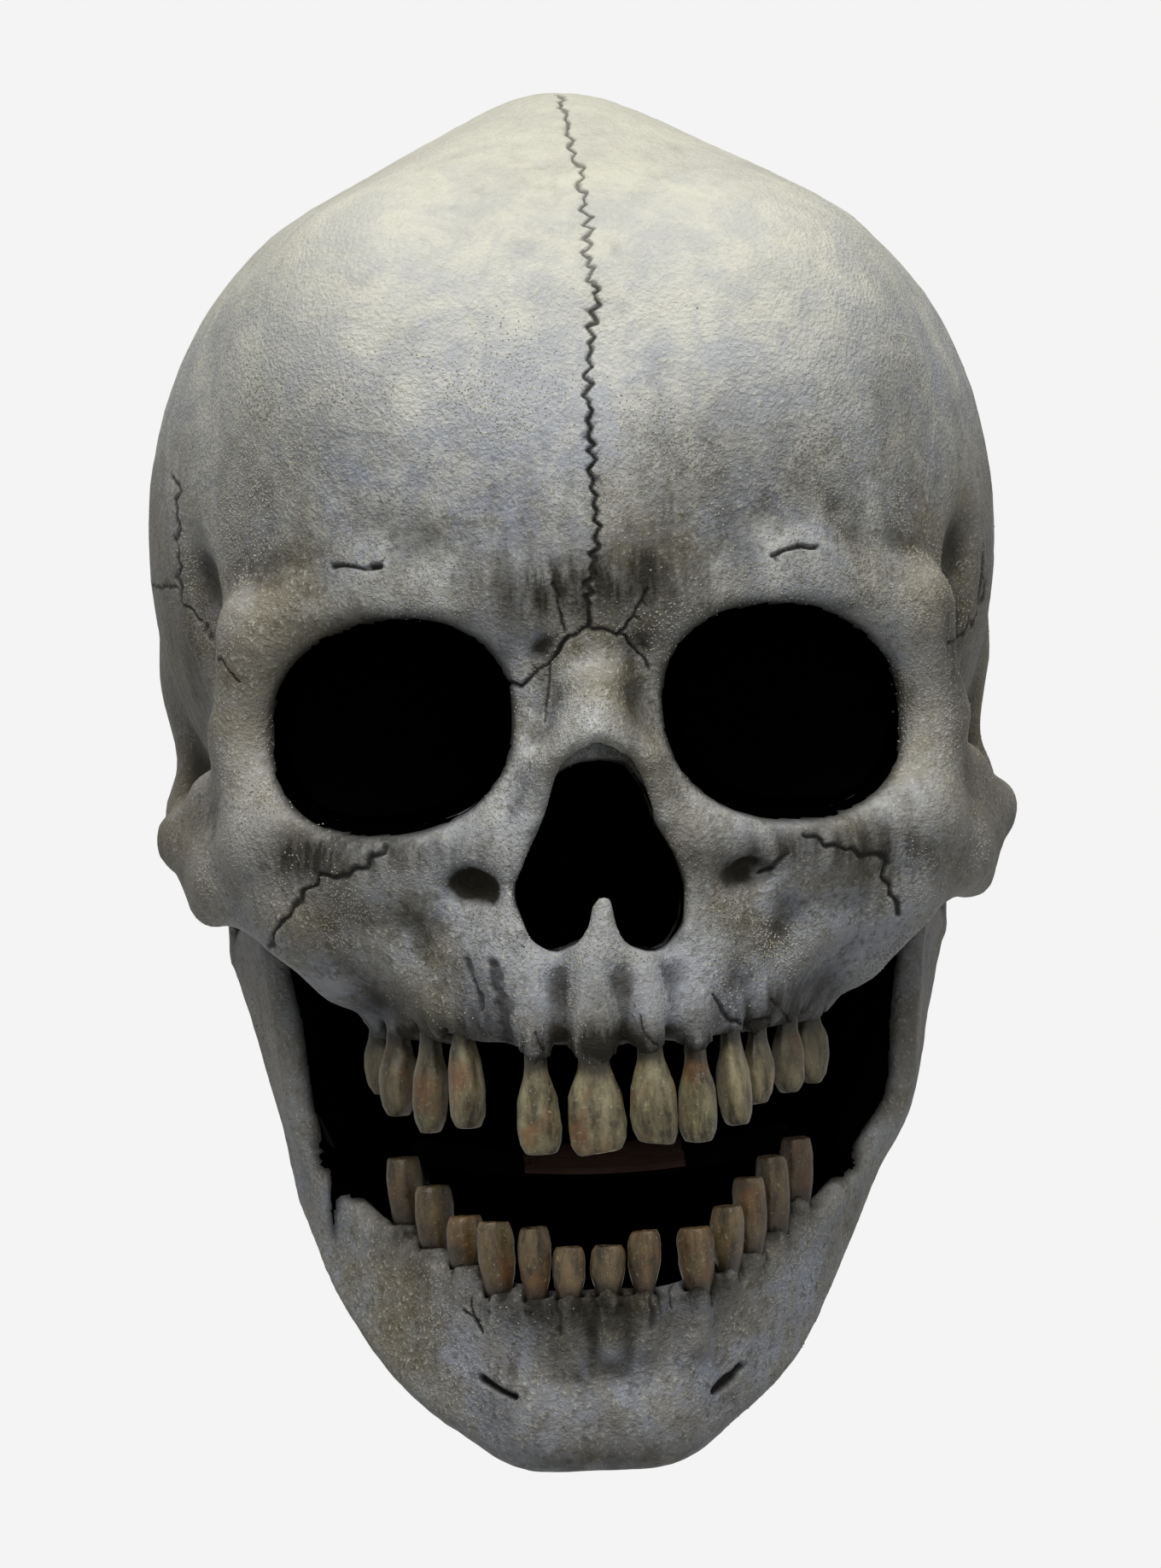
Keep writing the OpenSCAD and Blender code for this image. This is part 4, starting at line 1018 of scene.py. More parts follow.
def jaw_field(p):
    """The jaw: wall, chin, tooth roots, ears and lugs run together, then sockets and hinge holes out."""
    jaw = np.full(len(p), 9.0, "f")
    for trio in JAW_WALL:
        corners = np.array([corner for corner, _ in trio])
        reach = trio[0][1] + 9
        near = np.flatnonzero(np.all((p > corners.min(0) - reach) & (p < corners.max(0) + reach), axis=1))
        if len(near):
            jaw[near] = np.minimum(jaw[near], plate(p[near], *trio))
    jaw = join(jaw, bar(p, ((CHIN_SET - 12, -93, -124), 7.5), ((CHIN_SET + 12, -93, -124), 7.5)), 9)
    for x, dy, _, gum, w, _, _ in LOWER_TEETH:
        y, z = LOWER_FRONT + dy, CHIN + gum
        root_end = z - 15 + 6 * (z > -92) + x * 7 % 5
        root = bar(p, ((x, y - 1.5, z - 1.8), w * 0.47), ((x * 0.96, y + 0.8, root_end), w * 0.3))
        jaw = join(jaw, root, 3)
    flat, run = p[:, 1:], np.array([4.0, -18.0])
    t = np.clip(flat @ run / (run @ run), 0, 1)
    ear = np.linalg.norm(flat - t[:, None] * run, axis=1) - (11 - 7.5 * t)
    for side in (1, -1):
        jaw = join(jaw, -join(-ear, EAR_HALF - np.abs(p[:, 0] - side * EAR_X), 1.0), 1.0)
    jaw = join(jaw, lug_gap(p), 2)
    for tooth in LOWER_TEETH:
        socket_floor = CHIN + tooth[3] - 3
        socket = np.maximum(tooth_oval(p, tooth, LOWER_FRONT, 0.42, 0.46), socket_floor - p[:, 2])
        jaw = carve(jaw, socket, 1.2)
    hole = np.maximum(np.hypot(p[:, 1], p[:, 2]) - EAR_HOLE, 70 - np.abs(p[:, 0]))
    return carve(jaw, hole, 0.4)


# The jaw's cracks, nerve holes and clouds of painted shade, given as the skull's are
JAW_CRACKS = [
    ([(-30.0, -94.7), (-29.2, -98.6), (-27.4, -102.5)], 0.45, 0.8, 0.7, 0.9),
    ([(-31.5, -97), (-28, -100)], 0.35, 0.5, 0.5, 0.9),
    ([(-27.8, -113.3), (-24, -115.8), (-20.9, -117.4)], 1.0, 2.2, 0.3, 1),
    ([(24.1, -117.9), (27, -115.5), (30.0, -112.4)], 1.1, 2.4, 0.3, 1),
    ([(-10.5, -94), (-10, -104)], 0.8, 0.5, 0.9, 0.4),
    ([(11, -92), (10.5, -103)], 1.0, 0.7, 0.9, 0.6),
    ([(15.5, -92), (15, -99)], 0.6, 0.5, 0.9, 0.5)]
JAW_SHADE = [
    (-4, -97, 20, 6, 0.95), (-26, -90, 9, 7, 0.85), (-40, -79, 8, 8, 0.85), (22, -92, 9, 7, 0.85),
    (40, -78, 9, 8, 0.85), (-5, -106, 24, 7, 0.45), (-5, -124, 30, 8, 0.35), (-5, -135, 40, 5, 0.5),
    (-78, -60, 7, 40, 0.35), (76, -60, 8, 40, 0.4), (-44, -74, 12, 8, 0.5), (42, -74, 12, 8, 0.5),
    (26, -118, 8, 6, 0.35), (-25, -118, 8, 6, 0.3)]
MOUTH_MIDDLE = np.array([CHIN_SET * 0.5, -20])
jaw = mesh_of("jaw_casting", *sculpt(jaw_field, *JAW_BOX, JAW_STEP))
place(jaw, relax(points_of(jaw), edges_of(jaw), 3))
refine(jaw, near_cracks(JAW_CRACKS, 1.0), 0.7)
spots, way = points_of(jaw), normals_of(jaw)
bed, cut = crack_bed(spots, way, JAW_CRACKS)
skin = 0.3 * lumps(spots, 15, 21) + 0.15 * lumps(spots, 6, 22) + 0.09 * lumps(spots, 2.4, 23)
place(jaw, spots + way * ((skin * (spots[:, 2] < -20)) - cut)[:, None])
close, wide = dents(jaw)
shade = painted_shade_clouds(face_plan(spots), JAW_SHADE)
shade = np.maximum(shade, 0.95 * neck_shade(spots, LOWER_TEETH, LOWER_FRONT, CHIN))
# Black inside the jaw and on its lugs: black paint, and painted shade where the sides turn in towards the
# mouth, so it shades off softly
out = spots[:, :2] - MOUTH_MIDDLE
facing_out = dots(way[:, :2], out) / np.linalg.norm(out, axis=1)
lug = -lug_gap(spots)
in_mouth = np.maximum.reduce([
    ease(-facing_out, 0.1, 0.75), ease(lug, -6, -3.5) * (facing_out < 0.8), ease(lug, -2.2, -1)])
in_mouth = relax(in_mouth, edges_of(jaw), 5)
sandy = ease(lumps(spots, 20, 25), 0.0, 0.6) * ease(-way[:, 1], 0.1, 0.5)
sandy *= (in_mouth < 0.05) * (bed < 0.1) * np.clip(1 - 1.2 * shade, 0.12, 1)
mark(jaw, "crack", bed)
mark(jaw, "shade", shade)
mark(jaw, "hollow", in_mouth)
# Dirt in the dents, and painted shade where the jaw's form shuts a point in
mark(jaw, "dirt_and_shade", dirt_and_shade_of(close, wide) + 0.9 * ease(shut_in(jaw_field, spots, way), 0.12, 0.7))
# Painted highlight on the ridges
mark(jaw, "ridge_highlight", np.clip(-wide / 1.4, 0, 1))
mark(jaw, "grit", sandy)
# The jaw's paint is darker than the skull's: partly its browner paint, partly painted shade, as it hangs
# below the light
jaw.data.materials.append(painted_bone(
    "sponged_acrylic_and_painted_shade_on_jaw_latex", high="#938b80", mid="#948d83", low="#979591", dirt_and_shade=1.0, gloss=0.55))
blacked_out(jaw, in_mouth)
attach(jaw, "jaw")
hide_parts("jaw_shell")

# Teeth: solid castings, painted yellow and brown before they are pressed and glued
# into the gum sockets one by one. The uppers have long necks, the lowers are worn hollow on top.
ROUND = 36
RINGS = 26
ROOT = 6
SQUARE = 2.7


def tooth_colour(name, low, high):
    """Cast resin under brushed stain: olive ivory with orange patches, pale flecks and upright streaks,
    dark towards the root, partly stain and partly painted shade. It gives the eye a dull shine, as old teeth
    have."""
    paint, tree, at = new_paint(name)
    tall = node(tree, "ShaderNodeMapping", {"Vector": at, "Scale": (1.0, 1.0, 0.3)}).outputs[0]
    drawn = {}
    # Each pattern's marks, as their width in mm, detail and roughness
    for pattern, lie, grain, detail, rough in (
            ("streak", tall, 3.03, 6.0, 0.65), ("patch", at, 10.526, 4.0, 0.6),
            ("fleck", at, 0.909, 3.0, 0.6)):
        drawn[pattern] = node(tree, "ShaderNodeTexNoise", {
            "Vector": lie, "Scale": 1 / (grain * MM), "Detail": detail, "Roughness": rough}).outputs[0]
    drawn["root"] = node(tree, "ShaderNodeAttribute", attribute_name="root").outputs["Fac"]
    tone = tint(low)
    # The root coat darkens the neck and the back teeth: partly stain, partly painted shade
    for pattern, colour, start, end, most in (
            ("streak", high, 0.36, 0.66, 1.0), ("patch", "#7a5432", 0.52, 0.66, 0.6),
            ("fleck", "#bdb697", 0.60, 0.72, 0.45), ("root", "#1c170f", 0.0, 1.0, 1.0)):
        share = node(tree, "ShaderNodeMapRange", {0: drawn[pattern], 1: start, 2: end, 3: 0.0, 4: most})
        tone = node(tree, "ShaderNodeMix", {0: share.outputs[0], 6: tone, 7: tint(colour)},
                    data_type="RGBA").outputs[2]
    bump = node(tree, "ShaderNodeBump", {"Strength": 0.4, "Distance": 0.4 * MM, "Height": drawn["fleck"]})
    shader = node(tree, "ShaderNodeBsdfPrincipled", {
        "Base Color": tone, "Roughness": 0.42, "Specular IOR Level": 0.35, "Normal": bump.outputs[0]})
    node(tree, "ShaderNodeOutputMaterial", {"Surface": shader.outputs[0]})
    return paint


upper_paint = tooth_colour("stained_and_shaded_upper_resin", "#2f2a18", "#968d6e")
lower_paint = tooth_colour("stained_and_shaded_lower_resin", "#251c11", "#7a684a")


def tube_faces(count, sides):
    """The triangles of a tube of rings, one ring after another, each with this many sides."""
    ring = np.arange(sides)
    after = (ring + 1) % sides
    starts = np.arange(count - 1) * sides
    low = [np.stack([k + ring, k + after, k + sides + after], 1) for k in starts]
    high = [np.stack([k + ring, k + sides + after, k + sides + ring], 1) for k in starts]
    return low + high


def tooth(name, body, cad, row, front, tip_z, gum_z, seed, worn):
    """One tooth of a row: rings from the root to the tip, a cap, and the dark on its root and neck, partly
    stain and partly painted shade.
    """
    x, dy, _, _, w, d, turn = row
    up = 1 if gum_z > tip_z else -1
    root_z = gum_z + up * ROOT
    chance = np.random.default_rng(seed)
    s = np.linspace(0, 1, RINGS)
    # The width and depth down the tooth, as shares, and the rings that close its end, as share and rise
    if worn:
        wide = np.interp(s, [0, 0.3, 0.44, 0.62, 0.85, 0.95, 1], [0.46, 0.66, 0.86, 1.06, 1.08, 1.0, 0.86])
        deep = np.interp(s, [0, 0.25, 0.5, 0.8, 1], [0.5, 0.8, 1.0, 0.98, 0.86])
        cap = [(0.93, 0.35), (0.78, 0.1), (0.5, -0.5), (0.2, -0.8)]
    else:
        wide = np.interp(s, [0, 0.2, 0.34, 0.44, 0.56, 0.8, 0.93, 1],
                         [0.44, 0.5, 0.56, 0.72, 0.92, 1.0, 0.95, 0.76])
        deep = np.interp(s, [0, 0.2, 0.34, 0.5, 0.7, 0.9, 1], [0.5, 0.6, 0.68, 0.96, 1.0, 0.8, 0.5])
        cap = [(0.86, 0.35), (0.6, 0.5), (0.25, 0.55)]
    rings = [(root_z + (tip_z - root_z) * k, a, b) for k, a, b in zip(s, wide, deep)]
    rings += [(tip_z - up * rise, share * wide[-1], share * deep[-1]) for share, rise in cap]
    angle = np.linspace(0, 2 * math.pi, ROUND, endpoint=False)
    u = np.sign(np.cos(angle)) * np.abs(np.cos(angle)) ** (2 / SQUARE)
    v = np.sign(np.sin(angle)) * np.abs(np.sin(angle)) ** (2 / SQUARE)
    groove = 1 - 0.04 * np.cos(3 * angle + chance.uniform(-0.5, 0.5))
    turn = math.radians(turn)
    slope, tilt = chance.uniform(-0.12, 0.12), chance.uniform(-0.05, 0.05)
    verts = []
    for k, (z, a, b) in enumerate(rings):
        e, f = u * a * w / 2 * groove, v * b * d / 2 * groove
        verts.append(np.stack([
            x + tilt * (z - gum_z) + e * math.cos(turn) - f * math.sin(turn),
            front + dy + e * math.sin(turn) + f * math.cos(turn),
            z + slope * e * ease(k / RINGS, 0.4, 1)], 1))
    root_middle, tip_middle = len(rings) * ROUND, len(rings) * ROUND + 1
    verts = np.concatenate(verts + [[verts[0].mean(0)], [verts[-1].mean(0)]])
    ring = np.arange(ROUND)
    after = (ring + 1) % ROUND
    last = (len(rings) - 1) * ROUND
    faces = np.concatenate(tube_faces(len(rings), ROUND) + [
        np.stack([after, ring, np.full(ROUND, root_middle)], 1),
        np.stack([last + ring, last + after, np.full(ROUND, tip_middle)], 1)])
    piece = mesh_of(name, verts, faces[:, ::-1] if up > 0 else faces)
    spots, way = points_of(piece), normals_of(piece)
    place(piece, spots + way * (0.22 * lumps(spots, 5, seed) + 0.12 * lumps(spots, 1.8, seed + 1))[:, None])
    # Darker on the root and at the neck, where the tooth meets the gum: partly stain, partly painted shade
    down = (gum_z - spots[:, 2]) * up
    dark = 1 - ease(down, -1.5, 4.5) * (0.8 + 0.2 * ease(down, 4, 10))
    if worn:
        index = np.arange(len(spots))
        dark = np.maximum(dark, 0.75 * ease(index / ROUND, RINGS + 0.5, RINGS + 2) * (index != root_middle))
    # Teeth further back get painted shade, as they lie deeper in the mouth
    dark = 1 - (1 - np.clip(dark, 0, 1)) * (1 - 0.4 * ease(dy, 8, 34))
    mark(piece, "root", dark)
    piece.data.materials.append(lower_paint if worn else upper_paint)
    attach(piece, body)
    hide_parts(cad)


for i, row in enumerate(UPPER_TEETH):
    tooth(f"upper_tooth_casting_{i + 1}", "skull", f"upper_tooth_{i + 1}", row, UPPER_FRONT,
          UPPER_GUM - row[2], UPPER_GUM + row[3], 100 + i, False)
for i, row in enumerate(LOWER_TEETH):
    tooth(f"lower_tooth_casting_{i + 1}", "jaw", f"lower_tooth_{i + 1}", row, LOWER_FRONT,
          CHIN + row[2], CHIN + row[3], 200 + i, True)

# Grit: fine sand shaken over the wet last coat on the brow, cheeks and forehead, where it stands up
# as pale grains under the paint. Geometry Nodes strew the grains where the "grit" attribute says.
def tree_with(name, sizes):
    """A Geometry Nodes tree with a geometry, these named sizes and a material as its inputs."""
    tree = bpy.data.node_groups.new(name, "GeometryNodeTree")
    tree.interface.new_socket("Geometry", in_out="INPUT", socket_type="NodeSocketGeometry")
    for size, kind in sizes.items():
        tree.interface.new_socket(size, in_out="INPUT", socket_type="NodeSocket" + kind)
    tree.interface.new_socket("Material", in_out="INPUT", socket_type="NodeSocketMaterial")
    tree.interface.new_socket("Geometry", in_out="OUTPUT", socket_type="NodeSocketGeometry")
    return tree, node(tree, "NodeGroupInput").outputs


def grown(name, mesh, tree, values):
    """What the tree makes of a mesh, as a plain mesh object."""
    piece = bpy.data.objects.new(name, mesh)
    scene.collection.objects.link(piece)
    grow = piece.modifiers.new("grow", "NODES")
    grow.node_group = tree
    for socket in tree.interface.items_tree:
        if socket.in_out == "INPUT" and socket.name in values:
            grow[socket.identifier] = values[socket.name]
    made = bpy.data.meshes.new_from_object(piece.evaluated_get(bpy.context.evaluated_depsgraph_get()))
    piece.modifiers.clear()
    piece.data = made
    made.name = name
    return piece


strew, given = tree_with("strewn_grit", {"Grains per m2": "Float", "Grain radius": "Float", "Seed": "Int"})
where = node(strew, "GeometryNodeInputNamedAttribute", {"Name": "grit"}, data_type="FLOAT")
dense = node(strew, "ShaderNodeMath", {0: where.outputs[0], 1: given["Grains per m2"]}, operation="MULTIPLY")
points = node(strew, "GeometryNodeDistributePointsOnFaces", {
    "Mesh": given["Geometry"], "Density": dense.outputs[0], "Seed": given["Seed"]})
grain = node(strew, "GeometryNodeMeshCone", {
    "Vertices": 4, "Radius Bottom": given["Grain radius"], "Depth": given["Grain radius"]}, fill_type="NONE")
size = node(strew, "FunctionNodeRandomValue", {0: (0.4, 0.4, 0.4), 1: (1.0, 1.0, 0.9), "Seed": given["Seed"]},
            data_type="FLOAT_VECTOR")
strewn = node(strew, "GeometryNodeInstanceOnPoints", {
    "Points": points.outputs["Points"], "Instance": grain.outputs["Mesh"],
    "Rotation": points.outputs["Rotation"], "Scale": size.outputs[0]})
real = node(strew, "GeometryNodeRealizeInstances", {0: strewn.outputs[0]})
coat = node(strew, "GeometryNodeSetMaterial", {"Geometry": real.outputs[0], "Material": given["Material"]})
node(strew, "NodeGroupOutput", {0: coat.outputs[0]})


def two_tone(name, dark, light, grain, rough, shine, lift, metal=0.0):
    """A material that wanders between two colours in marks grain mm wide, which also dull it and stand
    up by lift mm."""
    paint, tree, at = new_paint(name)
    cloud = node(tree, "ShaderNodeTexNoise", {
        "Vector": at, "Scale": 1 / (grain * MM), "Detail": 6.0, "Roughness": 0.65}).outputs[0]
    tone = node(tree, "ShaderNodeMapRange", {0: cloud, 1: 0.36, 2: 0.64})
    tone = node(tree, "ShaderNodeMix", {0: tone.outputs[0], 6: tint(dark), 7: tint(light)}, data_type="RGBA")
    dull = node(tree, "ShaderNodeMapRange", {0: cloud, 1: 0.3, 2: 0.7, 3: rough - 0.1, 4: rough + 0.1})
    bump = node(tree, "ShaderNodeBump", {"Strength": 0.5, "Distance": lift * MM, "Height": cloud})
    shader = node(tree, "ShaderNodeBsdfPrincipled", {
        "Base Color": tone.outputs[2], "Metallic": metal, "Roughness": dull.outputs[0],
        "Specular IOR Level": shine, "Normal": bump.outputs[0]})
    node(tree, "ShaderNodeOutputMaterial", {"Surface": shader.outputs[0]})
    return paint


# Sand under the last coat of bone paint: matt grains, a little paler than the skin they stand on
sand = two_tone("sand_under_bone_paint", "#6f6c61", "#b3b0a3", grain=16.667, rough=0.7, shine=0.2, lift=0.1)
GRAIN_RADIUS = 0.34 * MM
for base, body, count, seed in ((skull, "skull", 1900000, 5), (jaw, "jaw", 500000, 6)):
    grains = grown(f"{body}_grit", base.data, strew, {
        "Grains per m2": float(count), "Grain radius": GRAIN_RADIUS, "Seed": seed, "Material": sand})
    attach(grains, body)

# Scrims: discs of fine black mesh glued behind the eye and nose holes, so the wearer sees out and
# nobody sees in. Each is stretched over its seat and dishes back a little in the middle.
def slab(name, grid, thick):
    """A sheet of cloth as a thin closed slab: a grid of points in mm, and its other face behind it."""
    n, m = grid.shape[:2]
    way = np.cross(np.gradient(grid, axis=0), np.gradient(grid, axis=1))
    way /= np.linalg.norm(way, axis=2, keepdims=True)
    verts = np.concatenate([grid.reshape(-1, 3), (grid - way * thick).reshape(-1, 3)])
    at = np.arange(n * m).reshape(n, m)
    face = np.stack([at[:-1, :-1], at[1:, :-1], at[1:, 1:], at[:-1, 1:]], -1).reshape(-1, 4)
    edge = np.concatenate([at[:, 0], at[-1, 1:], at[-2::-1, -1], at[0, -2:0:-1]])
    after = np.roll(edge, -1)
    rim = np.stack([edge, edge + n * m, after + n * m, after], 1)
    return mesh_of(name, verts, np.concatenate([face, face[:, ::-1] + n * m, rim]))


WAVE_PITCH = 0.31416


def woven(name, dark, light, pitch, axes, rib):
    """Cloth whose threads lie pitch mm apart across each of two axes and stand up by rib mm. A wave
    texture of scale 1 repeats every WAVE_PITCH metres."""
    paint, tree, at = new_paint(name)
    waves = [node(tree, "ShaderNodeTexWave", {
        "Vector": at, "Scale": WAVE_PITCH / (pitch * MM), "Distortion": 0.6},
        bands_direction=axis).outputs["Fac"] for axis in axes]
    weave = node(tree, "ShaderNodeMath", {0: waves[0], 1: waves[1]}, operation="MAXIMUM")
    worn = node(tree, "ShaderNodeTexNoise", {"Vector": at, "Scale": 1 / (8.333 * MM), "Detail": 4.0})
    # The thread crests are painted lighter and the dips between them darker: painted highlight and painted
    # shade
    share = node(tree, "ShaderNodeMath", {0: weave.outputs[0], 1: worn.outputs[0]}, operation="MULTIPLY")
    tone = node(tree, "ShaderNodeMix", {0: share.outputs[0], 6: tint(dark), 7: tint(light)}, data_type="RGBA")
    bump = node(tree, "ShaderNodeBump", {"Strength": 0.6, "Distance": rib * MM, "Height": weave.outputs[0]})
    shader = node(tree, "ShaderNodeBsdfPrincipled", {
        "Base Color": tone.outputs[2], "Roughness": 0.95, "Specular IOR Level": 0.02,
        "Normal": bump.outputs[0]})
    node(tree, "ShaderNodeOutputMaterial", {"Surface": shader.outputs[0]})
    return paint


# Black mesh: so dark and dull that the holes look empty
black_mesh = woven("black_mesh_scrim", "#010101", "#060607", pitch=0.8, axes="XZ", rib=0.15)
SCRIM_DISH, SCRIM_THICK = 1.6, 0.4
across = np.linspace(-1, 1, 31)
u, v = np.meshgrid(across, across, indexing="ij")
disc = np.stack([u * np.sqrt(1 - v * v / 2), v * np.sqrt(1 - u * u / 2)], -1)
for name, x, y, z, radius in (
        ("left_eye_scrim", 45, -59.6, 33, 24.4), ("right_eye_scrim", -45, -59.6, 33, 24.4),
        ("nose_scrim", 0, -71.8, 3, 25.3)):
    dish = y + SCRIM_DISH * (1 - (disc ** 2).sum(-1))
    grid = np.stack([x + radius * disc[..., 0], dish, z + radius * disc[..., 1]], -1)
    scrim = slab(name + "_cloth", grid, SCRIM_THICK)
    scrim.data.materials.append(black_mesh)
    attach(scrim, "skull")
    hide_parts(name)

# Jaw hinges: a domed nickel-plated rivet through each ear of the jaw, with a plated washer inside, a
# turned nylon spacer so the latex doesn't rub, and a rolled brass eyelet that lines the ear's hole.
# The chin strap's end plates and their rivets, which hold it to the jaw, get their finish here too.

# Marks of plating, moulding and rolling are too fine to show, so all of these are drawn coarser.
# Nickel plate: soft grey glints
nickel = two_tone(
    "dull_nickel_plate", "#535354", "#7d7d7b", grain=1.4286, rough=0.38, shine=0.5, lift=0.03, metal=1.0)
# Nylon: waxy and pale
nylon = two_tone(
    "natural_nylon", "#cfcab9", "#e0dccd", grain=6.25, rough=0.5, shine=0.4, lift=0.05)
# Rolled brass: yellow, and rubbed dull
brass = two_tone(
    "dull_rolled_brass", "#7d6533", "#ab8c4a", grain=1.6667, rough=0.42, shine=0.5, lift=0.03, metal=1.0)
# Moulded plastic: black, with a faint sheen
black_plate = two_tone(
    "moulded_black_plastic", "#0b0b0c", "#171718", grain=2, rough=0.55, shine=0.3, lift=0.05)
# Japanned steel, which is lacquered: black, and a little shinier than the plates
japanned = two_tone(
    "black_japanned_steel", "#0a0a0a", "#151515", grain=2, rough=0.5, shine=0.4, lift=0.03)
FINISHES = {
    "hinge_rivet": nickel, "hinge_washer": nickel, "hinge_spacer": nylon, "jaw_eyelet": brass,
    "strap_plate": black_plate, "strap_rivet_1": japanned, "strap_rivet_2": japanned}
for side in ("left", "right"):
    for part, finish in FINISHES.items():
        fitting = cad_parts[f"{side}_{part}"]
        fitting.data.materials.clear()
        fitting.data.materials.append(finish)

# Chin band: black woven elastic stretched from lug to lug inside the jaw, its ends turned down behind
# the strap plates. It sags under the wearer's chin, so the jaw opens when the wearer's own jaw does.
SAG_ROUND = 178.1
SAG = 5
BAND_HALF, BAND_THICK = 10, 1.0
BAND_RIB = 1.6


def band_place(grid):
    """Points given in the band's own frame, put back where the band sits in the mask."""
    x, y, z = np.moveaxis(grid, -1, 0)
    c, s = math.cos(BAND_TILT), math.sin(BAND_TILT)
    return np.stack([x, y * c - z * s + BAND_Y, z * c + y * s + BAND_Z], -1)


def band_top(x):
    """The height of the sagging band, on an arc, in its own frame."""
    return SAG_ROUND - SAG - np.sqrt(SAG_ROUND ** 2 - x * x)


turned_down = [(-44.8, -14.8), (-44.8, -11), (-44.8, -7), (-44.8, -3.5), (-44.6, -1.2), (-43.9, -0.3)]
path = turned_down + [(x, band_top(x)) for x in np.linspace(-42.5, 42.5, 69)]
path = np.array(path + [(-x, z) for x, z in turned_down[::-1]])
wide = np.linspace(-BAND_HALF, BAND_HALF, 25)
grid = np.empty((len(path), len(wide), 3))
grid[..., 0], grid[..., 1], grid[..., 2] = path[:, :1], wide, path[:, 1:]
grid[..., 2] -= 0.12 * np.cos(wide * math.pi / BAND_RIB) ** 2
band = slab("chin_band_elastic", band_place(grid), BAND_THICK)
# Woven elastic: ribbed along its length, and as black and matt as the mesh
band.data.materials.append(
    woven("black_woven_elastic", "#010101", "#08080a", pitch=BAND_RIB, axes="XY", rib=0.3))
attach(band, "jaw")
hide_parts("elastic_band")

# Chin pad: a short length of brown twill webbing laid over the middle of the band, ribbed along its
# length, its ends cut and sealed, and sewn down with a row of brown thread at each end.
PAD_HALF_LONG, PAD_HALF, PAD_THICK = 18.5, 12.5, 1.4
PAD_RIB = 2.1
long_x = np.linspace(-PAD_HALF_LONG, PAD_HALF_LONG, 61)
wide = np.linspace(-PAD_HALF, PAD_HALF, 101)
grid = np.empty((len(long_x), len(wide), 3))
grid[..., 0], grid[..., 1] = long_x[:, None], wide
grid[..., 2] = band_top(long_x)[:, None] + 1.65 + 0.16 * np.abs(np.sin(wide * math.pi / PAD_RIB))
frayed = lumps(grid.reshape(-1, 3), 1.5, 31).reshape(grid.shape[:2])
grid[..., 0] += 0.35 * frayed * ease(np.abs(long_x), PAD_HALF_LONG - 1, PAD_HALF_LONG)[:, None]
webbing = slab("chin_webbing", band_place(grid), PAD_THICK)
# Brown twill webbing: ribs catch the light along its length, and it is dark between them
webbing.data.materials.append(
    woven("brown_twill_webbing", "#1f1613", "#5e4a42", pitch=PAD_RIB, axes="YY", rib=0.2))
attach(webbing, "jaw")
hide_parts("chin_pad")

sew, given = tree_with(
    "row_of_stitches", {"Pitch": "Float", "Thread radius": "Float", "Stitch share": "Float"})
line = node(sew, "GeometryNodeMeshToCurve", {"Mesh": given["Geometry"]})
holes = node(sew, "GeometryNodeCurveToPoints", {
    "Curve": line.outputs[0], "Length": given["Pitch"]}, mode="LENGTH").outputs
thread = node(sew, "GeometryNodeMeshIcoSphere", {"Radius": given["Thread radius"], "Subdivisions": 2})
half = node(sew, "ShaderNodeMath", {0: given["Pitch"], 1: given["Stitch share"]}, operation="MULTIPLY")
ratio = node(sew, "ShaderNodeMath", {0: half.outputs[0], 1: given["Thread radius"]}, operation="DIVIDE")
shape = node(sew, "ShaderNodeCombineXYZ", {"X": 1.0, "Y": 1.0, "Z": ratio.outputs[0]})
sewn = node(sew, "GeometryNodeInstanceOnPoints", {
    "Points": holes["Points"], "Instance": thread.outputs["Mesh"], "Rotation": holes["Rotation"],
    "Scale": shape.outputs[0]})
real = node(sew, "GeometryNodeRealizeInstances", {0: sewn.outputs[0]})
coat = node(sew, "GeometryNodeSetMaterial", {"Geometry": real.outputs[0], "Material": given["Material"]})
node(sew, "NodeGroupOutput", {0: coat.outputs[0]})
# Sewing thread: matt brown, a shade darker than the webbing, with its twist drawn coarse to show
brown_thread = two_tone(
    "brown_sewing_thread", "#2a1c15", "#4a3428", grain=1.1111, rough=0.8, shine=0.1, lift=0.04)
SEAM_X, SEAM_HALF, SEAM_RISE = 16.6, 11.5, 1.75
SEAM_POINTS = 9
seam_y = np.linspace(-SEAM_HALF, SEAM_HALF, SEAM_POINTS)
rows = np.array([[(x, y, band_top(x) + SEAM_RISE) for y in seam_y] for x in (-SEAM_X, SEAM_X)])
seam = bpy.data.meshes.new("stitch_rows")
seam.from_pydata([tuple(c * MM) for c in band_place(rows).reshape(-1, 3)],
                 [(i + r, i + r + 1) for r in (0, SEAM_POINTS) for i in range(SEAM_POINTS - 1)], [])
stitches = grown("chin_webbing_stitches", seam, sew, {
    "Pitch": 2.3 * MM, "Thread radius": 0.28 * MM, "Stitch share": 0.4, "Material": brown_thread})
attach(stitches, "jaw")

# Foam pads: strips of black open-cell foam glued inside the crown, brow and temples, which hold the
# mask off the wearer's head. Each is crowned, with ends that are cut round and sides that draw in.
PAD_ROUND = 40
PAD_RINGS = 41
PAD_HALF_THICK = 5
# Open-cell foam: a deep black without shine, broken up by its cells
foam = two_tone("black_open_cell_foam", "#08080a", "#1d1d20", grain=0.7143, rough=0.95, shine=0.05, lift=0.4)


